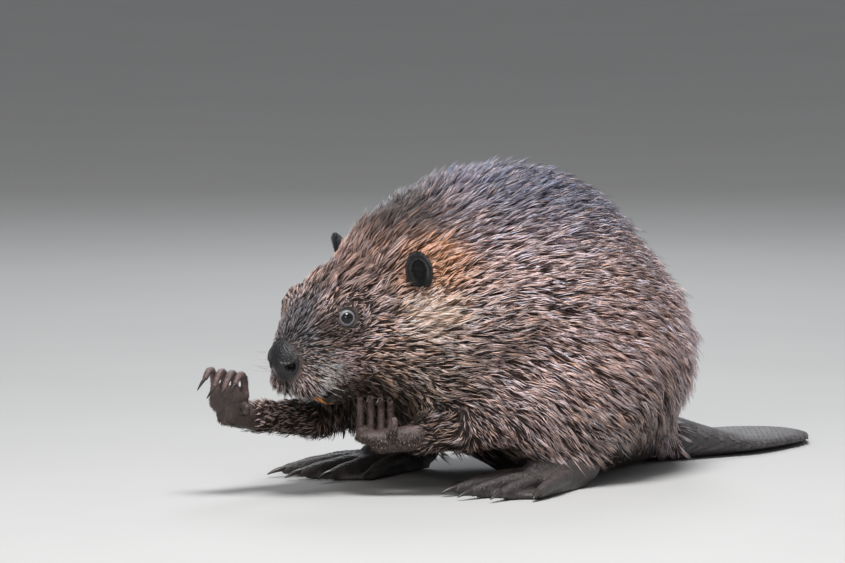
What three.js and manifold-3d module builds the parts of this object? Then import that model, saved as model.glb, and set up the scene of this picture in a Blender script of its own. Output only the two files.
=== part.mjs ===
// A life-size North American beaver, hunched on its hind feet with both forepaws lifted to its mouth.
// Millimetres, +Z up. The animal faces -X and its left side is at -Y. The floor is z = 0.
import * as THREE from 'three';
import { mergeVertices } from 'three/addons/utils/BufferGeometryUtils.js';
import Module from 'manifold-3d';

const wasm = await Module();
wasm.setup();

// ---------------------------------------------------------------- driving sizes
const GAP = 0.3;                 // clearance left at every cut between two nodes
const PITCH = 35;                // degrees that the line from ears to nose points down
const TURN = 4;                  // degrees that the head turns to the animal's right
const ROLL = 8;                  // degrees that the left ear sits lower than the right
const EARS_AT = [-193, 0, 210];  // midpoint between the two ears
const EYE_FORWARD = 91;
const EYE_SIDE = 37.5;
const EYE_UP = 10;
const EYE_RADIUS = 7;
const EAR_PLACES = { left: [12, 58, 7], right: [8, -50, 0] };
const EAR_HEIGHT = 42;
const EAR_WIDTH = 30;
const TAIL_ROOT = [120, 8, 0];
const TAIL_TURN = 14;            // degrees that the tail swings to the animal's right
const TAIL_LENGTH = 296;
const TAIL_HALF_WIDTH = 63;
const TAIL_HALF_THICK = 12;
const TAIL_CUT = 44;             // where the furred root of the tail gives way to the bare paddle
const STICK_RADIUS = 12;         // the forepaws close round a gap of this radius
const HIND_HEEL = [-48, 106, 16];
const HIND_TOE_REACH = 150;      // from the heel to the tips of the longest toes
const HIND_TOE_FAN = [-25, -12, 0, 12, 24];
const HIND_TOE_SHARE = [0.8, 0.95, 1, 0.98, 0.84];

const COAT = { color: 0x6b4a38, roughness: 0.75 };
const MUZZLE = { color: 0x5d5350, roughness: 0.8 };
const SKIN = { color: 0x3a312f, roughness: 0.6 };
const LEATHER = { color: 0x1c1b1e, roughness: 0.45 };
const EYE = { color: 0x0b0908, roughness: 0.08 };
const ENAMEL = { color: 0xc4661c, roughness: 0.35 };

// ---------------------------------------------------------------- frames
const rad = THREE.MathUtils.degToRad;
const vec = (x, y, z) => new THREE.Vector3(x, y, z);

// Head frame: x runs forward from the ears to the nose, y to the animal's left, z to its crown.
function headMatrix() {
  const heading = vec(-Math.cos(rad(TURN)), Math.sin(rad(TURN)), 0);
  const forward = heading.clone().multiplyScalar(Math.cos(rad(PITCH))).add(vec(0, 0, -Math.sin(rad(PITCH))));
  const left = vec(-heading.y, heading.x, 0);
  const up = forward.clone().cross(left);
  left.applyAxisAngle(forward, rad(-ROLL));
  up.applyAxisAngle(forward, rad(-ROLL));
  return new THREE.Matrix4().makeBasis(forward, left, up).setPosition(...EARS_AT);
}

// Tail frame: x runs back along the tail, y across it, z up.
function tailMatrix() {
  return new THREE.Matrix4().makeRotationZ(rad(TAIL_TURN)).setPosition(...TAIL_ROOT);
}

const HEAD = headMatrix();
const TAIL = tailMatrix();
const WORLD = new THREE.Matrix4();

// ---------------------------------------------------------------- signed distance pieces
// Each piece is a function of a world point; negative inside.
function egg(frame, centre, radii) {
  const inverse = frame.clone().invert();
  const p = vec();
  return (point) => {
    p.copy(point).applyMatrix4(inverse);
    const x = (p.x - centre[0]) / radii[0];
    const y = (p.y - centre[1]) / radii[1];
    const z = (p.z - centre[2]) / radii[2];
    const near = Math.hypot(x, y, z);
    const slope = Math.hypot(x / radii[0], y / radii[1], z / radii[2]);
    return slope < 1e-9 ? -Math.min(...radii) : near * (near - 1) / slope;
  };
}

function bone(start, end, startRadius, endRadius) {
  const a = vec(...start);
  const along = vec(...end).sub(a);
  const lengthSquared = along.lengthSq();
  const p = vec();
  return (point) => {
    p.copy(point).sub(a);
    const t = THREE.MathUtils.clamp(p.dot(along) / lengthSquared, 0, 1);
    return p.addScaledVector(along, -t).length() - THREE.MathUtils.lerp(startRadius, endRadius, t);
  };
}

function blend(k, ...pieces) {
  return (point) => {
    let total = pieces[0](point);
    for (const piece of pieces.slice(1)) {
      const d = piece(point);
      const h = Math.max(k - Math.abs(total - d), 0) / k;
      total = Math.min(total, d) - h * h * k / 4;
    }
    return total;
  };
}

const bothSides = (make) => [make(1), make(-1)];

// ---------------------------------------------------------------- the shape of the animal
function headField() {
  const skull = blend(
    16,
    egg(HEAD, [2, 0, -32], [72, 64, 64]),
    egg(HEAD, [72, 0, -26], [62, 47, 56]),
    egg(HEAD, [113, 0, -13], [41, 31, 32]),
    ...bothSides((s) => egg(HEAD, [38, s * 30, -52], [58, 35, 43])),
    ...bothSides((s) => egg(HEAD, [74, s * 20, 10], [32, 19, 18])),
  );
  const lips = blend(
    8,
    ...bothSides((s) => egg(HEAD, [131, s * 12, -29], [24, 18, 21])),
    egg(HEAD, [143, 0, -2], [14, 15, 13]),
  );
  const jaw = egg(HEAD, [92, 0, -62], [43, 25, 19]);
  return blend(10, skull, lips, jaw);
}

function trunkField() {
  return blend(
    26,
    egg(WORLD, [-76, 12, 154], [115, 130, 133]),
    egg(WORLD, [-24, 5, 150], [121, 128, 141]),
    egg(WORLD, [27, 1, 112], [136, 124, 113]),
    egg(WORLD, [22, 3, 130], [104, 104, 122]),
    egg(WORLD, [-150, 4, 152], [68, 94, 84]),
    egg(WORLD, [-164, 2, 98], [54, 76, 48]),
    egg(WORLD, [30, 2, 58], [100, 94, 63]),
    egg(TAIL, [-10, 0, 33], [56, 44, 37]),
    egg(TAIL, [34, 0, 20], [50, 33, 24]),
  );
}

function hindLegField(side) {
  return blend(
    16,
    egg(WORLD, [-20, side * 84, 84], [84, 50, 70]),
    egg(WORLD, [-112, side * 92, 66], [50, 32, 37]),
    bone([-108, side * 96, 52], [HIND_HEEL[0] - 4, side * HIND_HEEL[1], 20], 24, 14),
  );
}

const ELBOWS = { left: [-166, -86, 60], right: [-212, 70, 60] };
const WRISTS = { left: [-217, -53, 50], right: [-303, 67, 67] };

function forelegField(name) {
  const side = name === 'left' ? -1 : 1;
  return blend(
    14,
    egg(WORLD, [-168, side * 70, 84], [38, 28, 44]),
    egg(WORLD, [-146, side * 50, 70], [40, 36, 32]),
    bone(ELBOWS[name], WRISTS[name], 21, 12.5),
  );
}

function wholeField() {
  const core = blend(24, trunkField(), headField());
  const rear = blend(18, core, hindLegField(-1), hindLegField(1));
  return blend(14, rear, forelegField('left'), forelegField('right'));
}

// ---------------------------------------------------------------- from a field to a closed mesh
// Surface nets: one vertex in each cell the surface crosses, moved onto the surface afterwards.
function polygonise(field, low, high, step) {
  const count = [0, 1, 2].map((i) => Math.ceil((high[i] - low[i]) / step[i]) + 1);
  const index = (i, j, k) => i + count[0] * (j + count[1] * k);
  const corner = (i, j, k) => vec(low[0] + i * step[0], low[1] + j * step[1], low[2] + k * step[2]);
  const value = new Float32Array(count[0] * count[1] * count[2]);
  for (let k = 0; k < count[2]; k += 1) {
    for (let j = 0; j < count[1]; j += 1) {
      for (let i = 0; i < count[0]; i += 1) {
        const rim = [i, j, k].some((n, axis) => n === 0 || n === count[axis] - 1);
        const d = field(corner(i, j, k));
        value[index(i, j, k)] = rim ? Math.max(d, step[0] / 2) : d;
      }
    }
  }
  const cellVertex = new Map();
  const points = [];
  for (let k = 0; k + 1 < count[2]; k += 1) {
    for (let j = 0; j + 1 < count[1]; j += 1) {
      for (let i = 0; i + 1 < count[0]; i += 1) {
        const point = cellPoint(value, index, corner, i, j, k);
        if (point) {
          cellVertex.set(index(i, j, k), points.length);
          points.push(settle(field, point, low, high, step));
        }
      }
    }
  }
  const faces = netFaces(value, index, count, cellVertex);
  return closedGeometry(points, faces);
}

const CUBE = [0, 1, 2, 3, 4, 5, 6, 7].map((n) => [n & 1, (n >> 1) & 1, (n >> 2) & 1]);
const CUBE_EDGES = CUBE.flatMap((a, m) => CUBE.map((b, n) => [m, n]).filter(([p, q]) => {
  const apart = CUBE[p].reduce((sum, c, axis) => sum + Math.abs(c - CUBE[q][axis]), 0);
  return p < q && apart === 1;
}));

function cellPoint(value, index, corner, i, j, k) {
  const sum = vec(0, 0, 0);
  let crossings = 0;
  for (const [m, n] of CUBE_EDGES) {
    const a = CUBE[m];
    const b = CUBE[n];
    const da = value[index(i + a[0], j + a[1], k + a[2])];
    const db = value[index(i + b[0], j + b[1], k + b[2])];
    if ((da < 0) !== (db < 0)) {
      const start = corner(i + a[0], j + a[1], k + a[2]);
      sum.add(start.lerp(corner(i + b[0], j + b[1], k + b[2]), da / (da - db)));
      crossings += 1;
    }
  }
  return crossings ? sum.divideScalar(crossings) : null;
}

function settle(field, point, low, high, step) {
  const edge = [point.x, point.y, point.z].some(
    (c, axis) => c < low[axis] + step[axis] || c > high[axis] - step[axis],
  );
  const away = Math.min(...step) * 0.4;
  const e = 0.5;
  for (let round = 0; round < 3 && !edge; round += 1) {
    const d = field(point);
    const slope = vec(
      field(vec(point.x + e, point.y, point.z)) - d,
      field(vec(point.x, point.y + e, point.z)) - d,
      field(vec(point.x, point.y, point.z + e)) - d,
    ).divideScalar(e);
    const size = Math.max(slope.lengthSq(), 0.2);
    point.addScaledVector(slope, -THREE.MathUtils.clamp(d / size, -away, away));
  }
  return point;
}

function netFaces(value, index, count, cellVertex) {
  const faces = [];
  for (let axis = 0; axis < 3; axis += 1) {
    const [ahead, u, v] = [0, 1, 2].map((turn) => [0, 1, 2].map((n) => Number(n === (axis + turn) % 3)));
    const first = ahead.map((n) => 1 - n);
    for (let k = first[2]; k + 1 < count[2]; k += 1) {
      for (let j = first[1]; j + 1 < count[1]; j += 1) {
        for (let i = first[0]; i + 1 < count[0]; i += 1) {
          const here = value[index(i, j, k)] < 0;
          const there = value[index(i + ahead[0], j + ahead[1], k + ahead[2])] < 0;
          if (here !== there) {
            const around = [[0, 0], [1, 0], [1, 1], [0, 1]].map(([m, n]) => cellVertex.get(
              index(i - m * u[0] - n * v[0], j - m * u[1] - n * v[1], k - m * u[2] - n * v[2]),
            ));
            const [p, q, r, s] = here ? around : around.reverse();
            faces.push(p, q, r, p, r, s);
          }
        }
      }
    }
  }
  return faces;
}

function closedGeometry(points, faces) {
  const geometry = new THREE.BufferGeometry();
  geometry.setAttribute('position', new THREE.Float32BufferAttribute(points.flatMap((p) => [p.x, p.y, p.z]), 3));
  geometry.setIndex(faces);
  return geometry;
}

// ---------------------------------------------------------------- manifold solids
function solid(geometry) {
  geometry.deleteAttribute('normal');
  geometry.deleteAttribute('uv');
  const merged = mergeVertices(geometry, 1e-4);
  return new wasm.Manifold(new wasm.Mesh({
    numProp: 3,
    vertProperties: new Float32Array(merged.attributes.position.array),
    triVerts: new Uint32Array(merged.index.array),
  }));
}

function fieldSolid(field, low, high, step) {
  return solid(polygonise(field, low, high, step));
}

// A block between two opposite corners of a frame, grown by a clearance.
function block(frame, low, high, grow = 0) {
  const size = high.map((value, axis) => value - low[axis] + 2 * grow);
  const middle = high.map((value, axis) => (value + low[axis]) / 2);
  const box = new THREE.BoxGeometry(...size);
  box.translate(...middle);
  box.applyMatrix4(frame);
  return solid(box);
}

function ball(frame, centre, radii, around = 16) {
  const sphere = new THREE.SphereGeometry(1, around, Math.round(around * 0.6));
  sphere.scale(...radii);
  sphere.translate(...centre);
  sphere.applyMatrix4(frame);
  return solid(sphere);
}

// A closed tube through the points with a radius at each, made broader one way by a factor.
function tube(points, radii, sides = 8, broad = 1) {
  const path = points.map((p) => (p.isVector3 ? p : vec(...p)));
  const rings = [];
  let across = null;
  path.forEach((centre, n) => {
    const ahead = path[Math.min(n + 1, path.length - 1)].clone().sub(path[Math.max(n - 1, 0)]).normalize();
    const seed = across ?? (Math.abs(ahead.z) < 0.8 ? vec(0, 0, 1) : vec(1, 0, 0));
    across = seed.clone().addScaledVector(ahead, -seed.dot(ahead)).normalize();
    const other = ahead.clone().cross(across);
    for (let s = 0; s < sides; s += 1) {
      const angle = (s / sides) * Math.PI * 2;
      rings.push(centre.clone()
        .addScaledVector(across, Math.cos(angle) * radii[n])
        .addScaledVector(other, Math.sin(angle) * radii[n] * broad));
    }
  });
  return ringSolid(rings, sides);
}

// Closes a row of rings, each of the same number of points, into a solid with flat ends.
function ringSolid(rings, sides) {
  const faces = [];
  const count = rings.length / sides;
  for (let n = 0; n + 1 < count; n += 1) {
    for (let s = 0; s < sides; s += 1) {
      const a = n * sides + s;
      const b = n * sides + (s + 1) % sides;
      faces.push(a, b, a + sides, b, b + sides, a + sides);
    }
  }
  const last = (count - 1) * sides;
  for (let s = 1; s + 1 < sides; s += 1) {
    faces.push(0, s + 1, s, last, last + s, last + s + 1);
  }
  return solid(closedGeometry(rings, faces));
}

const union = (solids) => solids.reduce((total, next) => total.add(next));

// ---------------------------------------------------------------- paws and feet
// The gripping frame: x along the gap between the paws and z up, leaning with the held branch.
function gripMatrix(centre) {
  const along = vec(0.712, -0.688, -0.139).normalize();
  const side = vec(0, 0, 1).cross(along).normalize();
  return new THREE.Matrix4().makeBasis(along, side, along.clone().cross(side)).setPosition(...centre);
}

const RIGHT_GRIP = gripMatrix([-337, 52, 96]);
const LEFT_GRIP = gripMatrix([-236, -34, 72]);
const FINGER_SPREAD = [-17, -6, 5, 16];
const FINGER_LENGTH = [0.86, 1, 1, 0.88];

// One finger bent round the gap: start and turn are angles round the gap, in degrees from straight up.
function finger(frame, along, start, turn, share) {
  const bends = [0, 0.34, 0.68, 1];
  const path = bends.map((t, n) => {
    const angle = rad(start + turn * t * share);
    const reach = STICK_RADIUS + 5.2 - n * 0.45;
    return vec(along * (1 + 0.12 * t), Math.sin(angle) * reach, Math.cos(angle) * reach).applyMatrix4(frame);
  });
  const clawAngle = rad(start + turn * share + Math.sign(turn) * 38);
  const claw = vec(along * 1.14, Math.sin(clawAngle) * 13.5, Math.cos(clawAngle) * 13.5).applyMatrix4(frame);
  return tube([...path, claw], [6, 5.6, 4.9, 3.6, 0.8], 6);
}

// A point a little way up the forearm, so that the paw reaches back to the cut at the wrist.
const wristInside = (name) => vec(...WRISTS[name]).lerp(vec(...ELBOWS[name]), 0.28);

function rightForepaw() {
  const fingers = FINGER_SPREAD.map((along, n) => finger(RIGHT_GRIP, along, 112, -168, FINGER_LENGTH[n]));
  const thumb = tube([[14, 16, -14], [17, 8, -18], [18, -3, -17], [18, -10, -12]]
    .map((p) => vec(...p).applyMatrix4(RIGHT_GRIP)), [5.5, 5, 4.2, 1], 6);
  const palm = ball(RIGHT_GRIP, [1, 17, -13], [24, 9.5, 17], 10);
  const heel = tube([wristInside('right'), vec(0, 16, -24).applyMatrix4(RIGHT_GRIP)], [13.5, 12], 10);
  return union([palm, heel, thumb, ...fingers]);
}

function leftForepaw() {
  const fingers = FINGER_SPREAD.map((along, n) => finger(LEFT_GRIP, along, 178, -158, FINGER_LENGTH[n]));
  const thumb = tube([[12, -2, -18], [16, -12, -15], [17, -16, -6], [16, -16, 3]]
    .map((p) => vec(...p).applyMatrix4(LEFT_GRIP)), [5.5, 5, 4.2, 1], 6);
  const palm = ball(LEFT_GRIP, [1, 1, -22], [24, 16, 9], 10);
  const heel = tube([wristInside('left'), vec(4, -3, -24).applyMatrix4(LEFT_GRIP)], [13.5, 10.5], 10);
  return union([palm, heel, thumb, ...fingers]);
}

function hindFoot(side, grow = 0) {
  const heel = vec(HIND_HEEL[0], side * HIND_HEEL[1], 0);
  const toes = HIND_TOE_FAN.map((fan, n) => {
    const angle = rad(fan + 3);
    const reach = HIND_TOE_REACH * HIND_TOE_SHARE[n];
    const at = (share, height, spread = 1) => vec(
      heel.x - Math.cos(angle * spread) * reach * share,
      heel.y + side * Math.sin(angle * spread) * reach * share,
      height,
    );
    return tube(
      [at(0.34, 14, 0.9), at(0.74, 11.6), at(0.97, 6.6), at(1.12, 1.6)],
      [9, 8, 5.8, 0.8].map((r) => r + grow),
      6,
    );
  });
  const web = footWeb(heel, side, grow);
  const instep = tube(
    [[heel.x + 10, heel.y, 17], [heel.x - 14, heel.y, 17], [heel.x - 66, heel.y + side * 2, 15]],
    [13, 17.5, 14].map((r) => r + grow),
    8,
  );
  const sole = ball(
    WORLD,
    [heel.x - 52, heel.y + side * 2, 11],
    [40, 21, 11].map((r) => r + grow),
    10,
  );
  return union([instep, sole, web, ...toes]);
}

// The thin web between the toes, a low fan lying close to the floor.
function footWeb(heel, side, grow) {
  const top = [];
  const rim = HIND_TOE_FAN.flatMap((fan, n) => {
    const next = HIND_TOE_FAN[n + 1];
    const own = [fan, HIND_TOE_SHARE[n] * 0.93];
    return next === undefined ? [own] : [own, [(fan + next) / 2, 0.82]];
  });
  for (const [fan, share] of rim) {
    const angle = rad(fan + 3);
    const reach = HIND_TOE_REACH * share;
    top.push([heel.x - Math.cos(angle) * reach, heel.y + side * Math.sin(angle) * reach]);
  }
  top.push([heel.x - 12, heel.y + side * 9], [heel.x - 12, heel.y - side * 9]);
  const outline = new THREE.Shape(top.map(([x, y]) => new THREE.Vector2(x, y)));
  const slab = new THREE.ExtrudeGeometry(outline, { depth: 8 + grow, bevelEnabled: false });
  return solid(slab);
}

// ---------------------------------------------------------------- tail
// The bare paddle: narrow and thick at its root, broad and flat to a rounded end, flat on the floor.
function paddle() {
  const stations = 12;
  const sides = 18;
  const rings = [];
  for (let n = 0; n <= stations; n += 1) {
    const t = Math.sin((n / stations) * Math.PI / 2);
    const root = 1 - THREE.MathUtils.smoothstep(t, 0, 0.45);
    const rounding = Math.sqrt(Math.max(1 - t ** 5, 0.004));
    const wide = THREE.MathUtils.lerp(TAIL_HALF_WIDTH, 33, root) * rounding;
    const thick = THREE.MathUtils.lerp(TAIL_HALF_THICK - 5 * t, 24, root) * Math.sqrt(rounding);
    const x = TAIL_CUT - 6 + (TAIL_LENGTH - TAIL_CUT + 6) * t;
    for (let s = 0; s < sides; s += 1) {
      const angle = (s / sides) * Math.PI * 2;
      const lift = Math.sign(Math.sin(angle)) * Math.abs(Math.sin(angle)) ** 1.25 * thick;
      rings.push(vec(x, Math.cos(angle) * wide, lift + thick * 0.86).applyMatrix4(TAIL));
    }
  }
  return ringSolid(rings, sides);
}

// ---------------------------------------------------------------- ears, eyes, teeth
// Ear frame: x out of the ear's open face, z up along the ear.
function earMatrix(name) {
  const side = name === 'left' ? 1 : -1;
  const up = vec(-0.1, side * 0.16, 0.97).normalize();
  const open = vec(0.66, side * 0.75, 0);
  open.addScaledVector(up, -open.dot(up)).normalize();
  const place = new THREE.Matrix4().makeBasis(open, up.clone().cross(open), up);
  return HEAD.clone().multiply(place.setPosition(...EAR_PLACES[name]));
}

function ear(name, grow = 0) {
  const frame = earMatrix(name);
  const shell = ball(frame, [0, 0, 0], [6.5 + grow, EAR_WIDTH / 2 + grow, EAR_HEIGHT / 2 + grow], 12);
  const bowl = ball(frame, [7.6, 0, 1], [7, EAR_WIDTH / 2 - 3, EAR_HEIGHT / 2 - 4], 10);
  return grow ? shell : shell.subtract(bowl);
}

function eyeball(side, grow = 0) {
  const r = EYE_RADIUS + grow;
  return ball(HEAD, [EYE_FORWARD, side * EYE_SIDE, EYE_UP], [r, r, r], 10);
}

// The slit of the open mouth, which the cuts leave empty.
const mouth = () => ball(HEAD, [135, 0, -54], [32, 23, 5], 10);

// A pair of teeth as one slab, bent along a path in the head's middle plane.
function incisors(path, radii, grow) {
  const points = path.map(([x, z]) => vec(x, 0, z).applyMatrix4(HEAD));
  return tube(points, radii.map((r) => r + grow), 8, 1.9);
}

function upperIncisors(grow = 0) {
  return incisors([[126, -30], [134, -38], [137, -47], [136, -55]], [3.6, 3.6, 3.2, 1.4], grow);
}

function lowerIncisors(grow = 0) {
  return incisors([[120, -72], [127, -66], [131, -61], [132, -57]], [3.5, 3.4, 3, 1.4], grow);
}

// ---------------------------------------------------------------- cutting the body into nodes
// Each fleshy node takes the body inside its block, less the blocks of the nodes listed before it.
// None reaches past the wrists or the root of the tail, where paws and paddle are built as solids.
const ANIMAL = [[-350, -180, -14], [480, 200, 312]];
const LEG_STEP = [17, 17, 17];
const ARM_STEP = [13, 13, 13];
const PAW_ROOM = [
  { name: 'left_paw_room', frame: WORLD, low: [-250, -84, 30], high: [-208, -36, 70] },
  { name: 'right_paw_room', frame: WORLD, low: [-340, 48, 44], high: [-296, 92, 92] },
];
const TAIL_ROOM = { name: 'tail_room', frame: TAIL, low: [TAIL_CUT, -90, -10], high: [340, 90, 80] };
const FLESH = [
  { name: 'left_foreleg', frame: WORLD, low: [-208, -130, 27], high: [-141, -41, 85], step: ARM_STEP, look: COAT },
  { name: 'right_foreleg', frame: WORLD, low: [-296, 41, 27], high: [-176, 130, 85], step: ARM_STEP, look: COAT },
  { name: 'nose', frame: HEAD, low: [141, -19, -14], high: [180, 19, 30], step: [8, 8, 8], look: LEATHER },
  { name: 'muzzle', frame: HEAD, low: [100, -52, -92], high: [190, 52, 60], step: [11, 11, 11], look: MUZZLE },
  { name: 'head', frame: HEAD, low: [-32, -170, -92], high: [100, 170, 90], step: [17, 17, 17], look: COAT },
  { name: 'neck', frame: HEAD, low: [-84, -190, -92], high: [-32, 190, 150], step: [20, 20, 20], look: COAT },
  { name: 'left_hind_leg', frame: WORLD, low: [-180, -170, 3], high: [20, -74, 112], step: LEG_STEP, look: COAT },
  { name: 'right_hind_leg', frame: WORLD, low: [-180, 74, 3], high: [20, 170, 112], step: LEG_STEP, look: COAT },
  { name: 'trunk', frame: WORLD, low: ANIMAL[0], high: ANIMAL[1], step: [27, 27, 26], look: COAT },
];

const regionBlock = ({ frame, low, high }, grow = 0) => block(frame, low, high, grow);
const regionOf = (name) => FLESH.find((region) => region.name === name);

// The box in the world that holds a region, no larger than the animal and a little wider than the cut.
function sampledBox({ frame, low, high, step }) {
  const box = new THREE.Box3(vec(...low), vec(...high)).applyMatrix4(frame);
  box.expandByVector(vec(...step));
  box.intersect(new THREE.Box3(vec(...ANIMAL[0]), vec(...ANIMAL[1])));
  return [box.min.toArray(), box.max.toArray()];
}

function fleshNode(region, earlier, fillers) {
  const [low, high] = sampledBox(region);
  let body = fieldSolid(FIELD, low, high, region.step).intersect(regionBlock(region));
  for (const other of earlier) {
    body = body.subtract(regionBlock(other, GAP));
  }
  return body.subtract(fillers).subtract(FLOOR);
}

const FIELD = wholeField();
const FLOOR = block(WORLD, [-600, -400, -80], [600, 400, 0]);

function mesh(name, body, look) {
  const out = body.getMesh();
  const geometry = new THREE.BufferGeometry();
  geometry.setAttribute('position', new THREE.Float32BufferAttribute(out.vertProperties, 3));
  geometry.setIndex([...out.triVerts]);
  const flat = geometry.toNonIndexed();
  flat.computeVertexNormals();
  const made = new THREE.Mesh(flat, new THREE.MeshStandardMaterial({ ...look, metalness: 0 }));
  made.name = name;
  return made;
}

function build() {
  const group = new THREE.Group();
  group.name = 'beaver';
  const add = (name, body, look) => group.add(mesh(name, body, look));

  const fillers = union([
    ...bothSides((side) => eyeball(side, GAP)),
    ...['left', 'right'].map((name) => ear(name, GAP)),
    ...bothSides((side) => hindFoot(side, GAP)),
    upperIncisors(GAP),
    lowerIncisors(GAP),
    mouth(),
  ]);
  FLESH.forEach((region, n) => {
    const earlier = [...PAW_ROOM, TAIL_ROOM, ...FLESH.slice(0, n)];
    add(region.name, fleshNode(region, earlier, fillers), region.look);
  });

  add('tail', paddle().intersect(regionBlock(TAIL_ROOM)).subtract(FLOOR), SKIN);
  add('left_ear', ear('left'), LEATHER);
  add('right_ear', ear('right'), LEATHER);
  add('left_eye', eyeball(1), EYE);
  add('right_eye', eyeball(-1), EYE);
  add('upper_incisors', upperIncisors(), ENAMEL);
  add('lower_incisors', lowerIncisors(), ENAMEL);
  add('left_forepaw', leftForepaw().subtract(regionBlock(regionOf('left_foreleg'), GAP)), SKIN);
  add('right_forepaw', rightForepaw().subtract(regionBlock(regionOf('right_foreleg'), GAP)), SKIN);
  add('left_hind_foot', hindFoot(-1).subtract(FLOOR), SKIN);
  add('right_hind_foot', hindFoot(1).subtract(FLOOR), SKIN);
  return centred(group);
}

// Puts the middle of the whole animal's box over the origin, with the floor still at z = 0.
function centred(group) {
  const middle = new THREE.Box3().setFromObject(group).getCenter(vec());
  for (const part of group.children) {
    part.geometry.translate(-middle.x, -middle.y, 0);
  }
  return group;
}

export default build();
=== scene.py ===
"""A still, life-size beaver: skin, wet coat, face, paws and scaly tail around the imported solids.

Metres, in the frame of the solids: the animal faces -X, its left side is at -Y, the floor is z = 0.
Lengths that are easier to read in millimetres are written as n * MM.
"""
import math

import bmesh
import bpy
import numpy as np
from mathutils import Matrix, Vector
from mathutils.bvhtree import BVHTree
from mathutils.kdtree import KDTree


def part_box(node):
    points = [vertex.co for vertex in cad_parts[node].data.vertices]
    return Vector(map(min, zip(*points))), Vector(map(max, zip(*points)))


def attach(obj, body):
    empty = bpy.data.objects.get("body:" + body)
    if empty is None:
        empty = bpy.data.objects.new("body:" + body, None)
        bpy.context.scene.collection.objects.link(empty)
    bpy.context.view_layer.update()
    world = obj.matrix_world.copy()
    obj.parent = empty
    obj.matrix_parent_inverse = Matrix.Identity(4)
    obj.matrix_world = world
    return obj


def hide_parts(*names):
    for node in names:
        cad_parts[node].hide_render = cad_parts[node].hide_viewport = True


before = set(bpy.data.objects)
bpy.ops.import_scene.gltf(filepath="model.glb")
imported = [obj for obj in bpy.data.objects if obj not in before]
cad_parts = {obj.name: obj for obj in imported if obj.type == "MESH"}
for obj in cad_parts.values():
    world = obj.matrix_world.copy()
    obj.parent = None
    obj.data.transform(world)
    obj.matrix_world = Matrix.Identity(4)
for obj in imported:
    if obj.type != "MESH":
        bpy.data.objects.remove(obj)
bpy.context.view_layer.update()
MM = 0.001
RNG = np.random.default_rng(7)

# ------------------------------------------------------------------ the same pose as the solids
PITCH, TURN, ROLL = math.radians(35), math.radians(4), math.radians(8)
EARS_AT = Vector((-193, 0, 210)) * MM
EYE_IN_HEAD = (91, 37.5, 10)     # the left eye in the frame of the head, in mm
TAIL_ROOT = Vector((120, 8, 0)) * MM
TAIL_TURN = math.radians(14)
TAIL_CUT = 44 * MM
TAIL_LENGTH = 296 * MM

IMAGE_WIDTH, IMAGE_HEIGHT = 845, 563
CAMERA_AZIMUTH, CAMERA_HEIGHT = math.radians(-44), math.radians(6)
CAMERA_DISTANCE = 8.0
METRES_PER_PIXEL = 0.92 * MM
BODY_PIXEL = (540, 473)          # where the floor under the middle of the body shows


def middle(node):
    low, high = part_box(node)
    return (Vector(low) + Vector(high)) / 2


def head_axes():
    heading = Vector((-math.cos(TURN), math.sin(TURN), 0))
    forward = heading * math.cos(PITCH) + Vector((0, 0, -math.sin(PITCH)))
    left = Vector((-heading.y, heading.x, 0))
    up = forward.cross(left)
    roll = Matrix.Rotation(-ROLL, 3, forward)
    return Matrix((forward, roll @ left, roll @ up)).transposed()


HEAD_TURN = head_axes()
EYES = {"left": middle("left_eye"), "right": middle("right_eye")}
BETWEEN_EYES = Vector((EYE_IN_HEAD[0], 0, EYE_IN_HEAD[2])) * MM
EAR_MIDDLE = (EYES["left"] + EYES["right"]) / 2 - HEAD_TURN @ BETWEEN_EYES
SHIFT = EAR_MIDDLE - EARS_AT     # the solids were moved by this to centre them over the origin
HEAD = Matrix.Translation(EAR_MIDDLE) @ HEAD_TURN.to_4x4()
TAIL = Matrix.Translation(SHIFT + TAIL_ROOT) @ Matrix.Rotation(TAIL_TURN, 4, "Z")


def body(x, y, z):
    """A point given in millimetres in the frame in which the solids were designed."""
    return SHIFT + Vector((x, y, z)) * MM


def head(x, y, z):
    """A point given in millimetres forward, left and up of the middle between the ears."""
    return HEAD @ (Vector((x, y, z)) * MM)


def local(points, matrix):
    """Points as an array, in millimetres in the frame of the matrix."""
    inverse = np.array(matrix.inverted())
    return (points @ inverse[:3, :3].T + inverse[:3, 3]) / MM


BODY_FRAME = Matrix.Translation(SHIFT)
IN_HEAD = (("left", 1), ("right", -1))    # the animal's sides and the sign of y in the head's frame
IN_BODY = (("left", -1), ("right", 1))    # the same in the frame of the solids


def reach_in(place, centre, radii):
    """How far out of an ellipsoid's middle each place lies, where 1 is on its surface."""
    return np.linalg.norm((place - np.array(centre)) / np.array(radii), axis=1)


def from_eye(place, sign):
    """Millimetres from the middle of an eye to places in the head's frame."""
    x, y, z = EYE_IN_HEAD
    return np.linalg.norm(place - np.array((x, sign * y, z)), axis=1)


# ------------------------------------------------------------------ small mesh tools
def smooth(value, low, high):
    t = np.clip((value - low) / (high - low), 0, 1)
    return t * t * (3 - 2 * t)


def between(ends, share):
    return ends[0] + (ends[1] - ends[0]) * share


def unit(rows):
    return rows / np.maximum(np.linalg.norm(rows, axis=-1, keepdims=True), 1e-9)


def link(name, mesh, material=None):
    obj = bpy.data.objects.new(name, mesh)
    bpy.context.scene.collection.objects.link(obj)
    if material:
        mesh.materials.clear()
        mesh.materials.append(material)
    return obj


def mesh_of(name, points, faces):
    mesh = bpy.data.meshes.new(name)
    mesh.from_pydata([tuple(p) for p in points], [], [tuple(f) for f in faces])
    mesh.update()
    return mesh


def shade_smooth(mesh):
    mesh.polygons.foreach_set("use_smooth", np.ones(len(mesh.polygons), bool))
    mesh.update()


def vertex_array(mesh, what="co"):
    flat = np.empty(len(mesh.vertices) * 3)
    mesh.vertices.foreach_get(what, flat)
    return flat.reshape(-1, 3)


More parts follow.
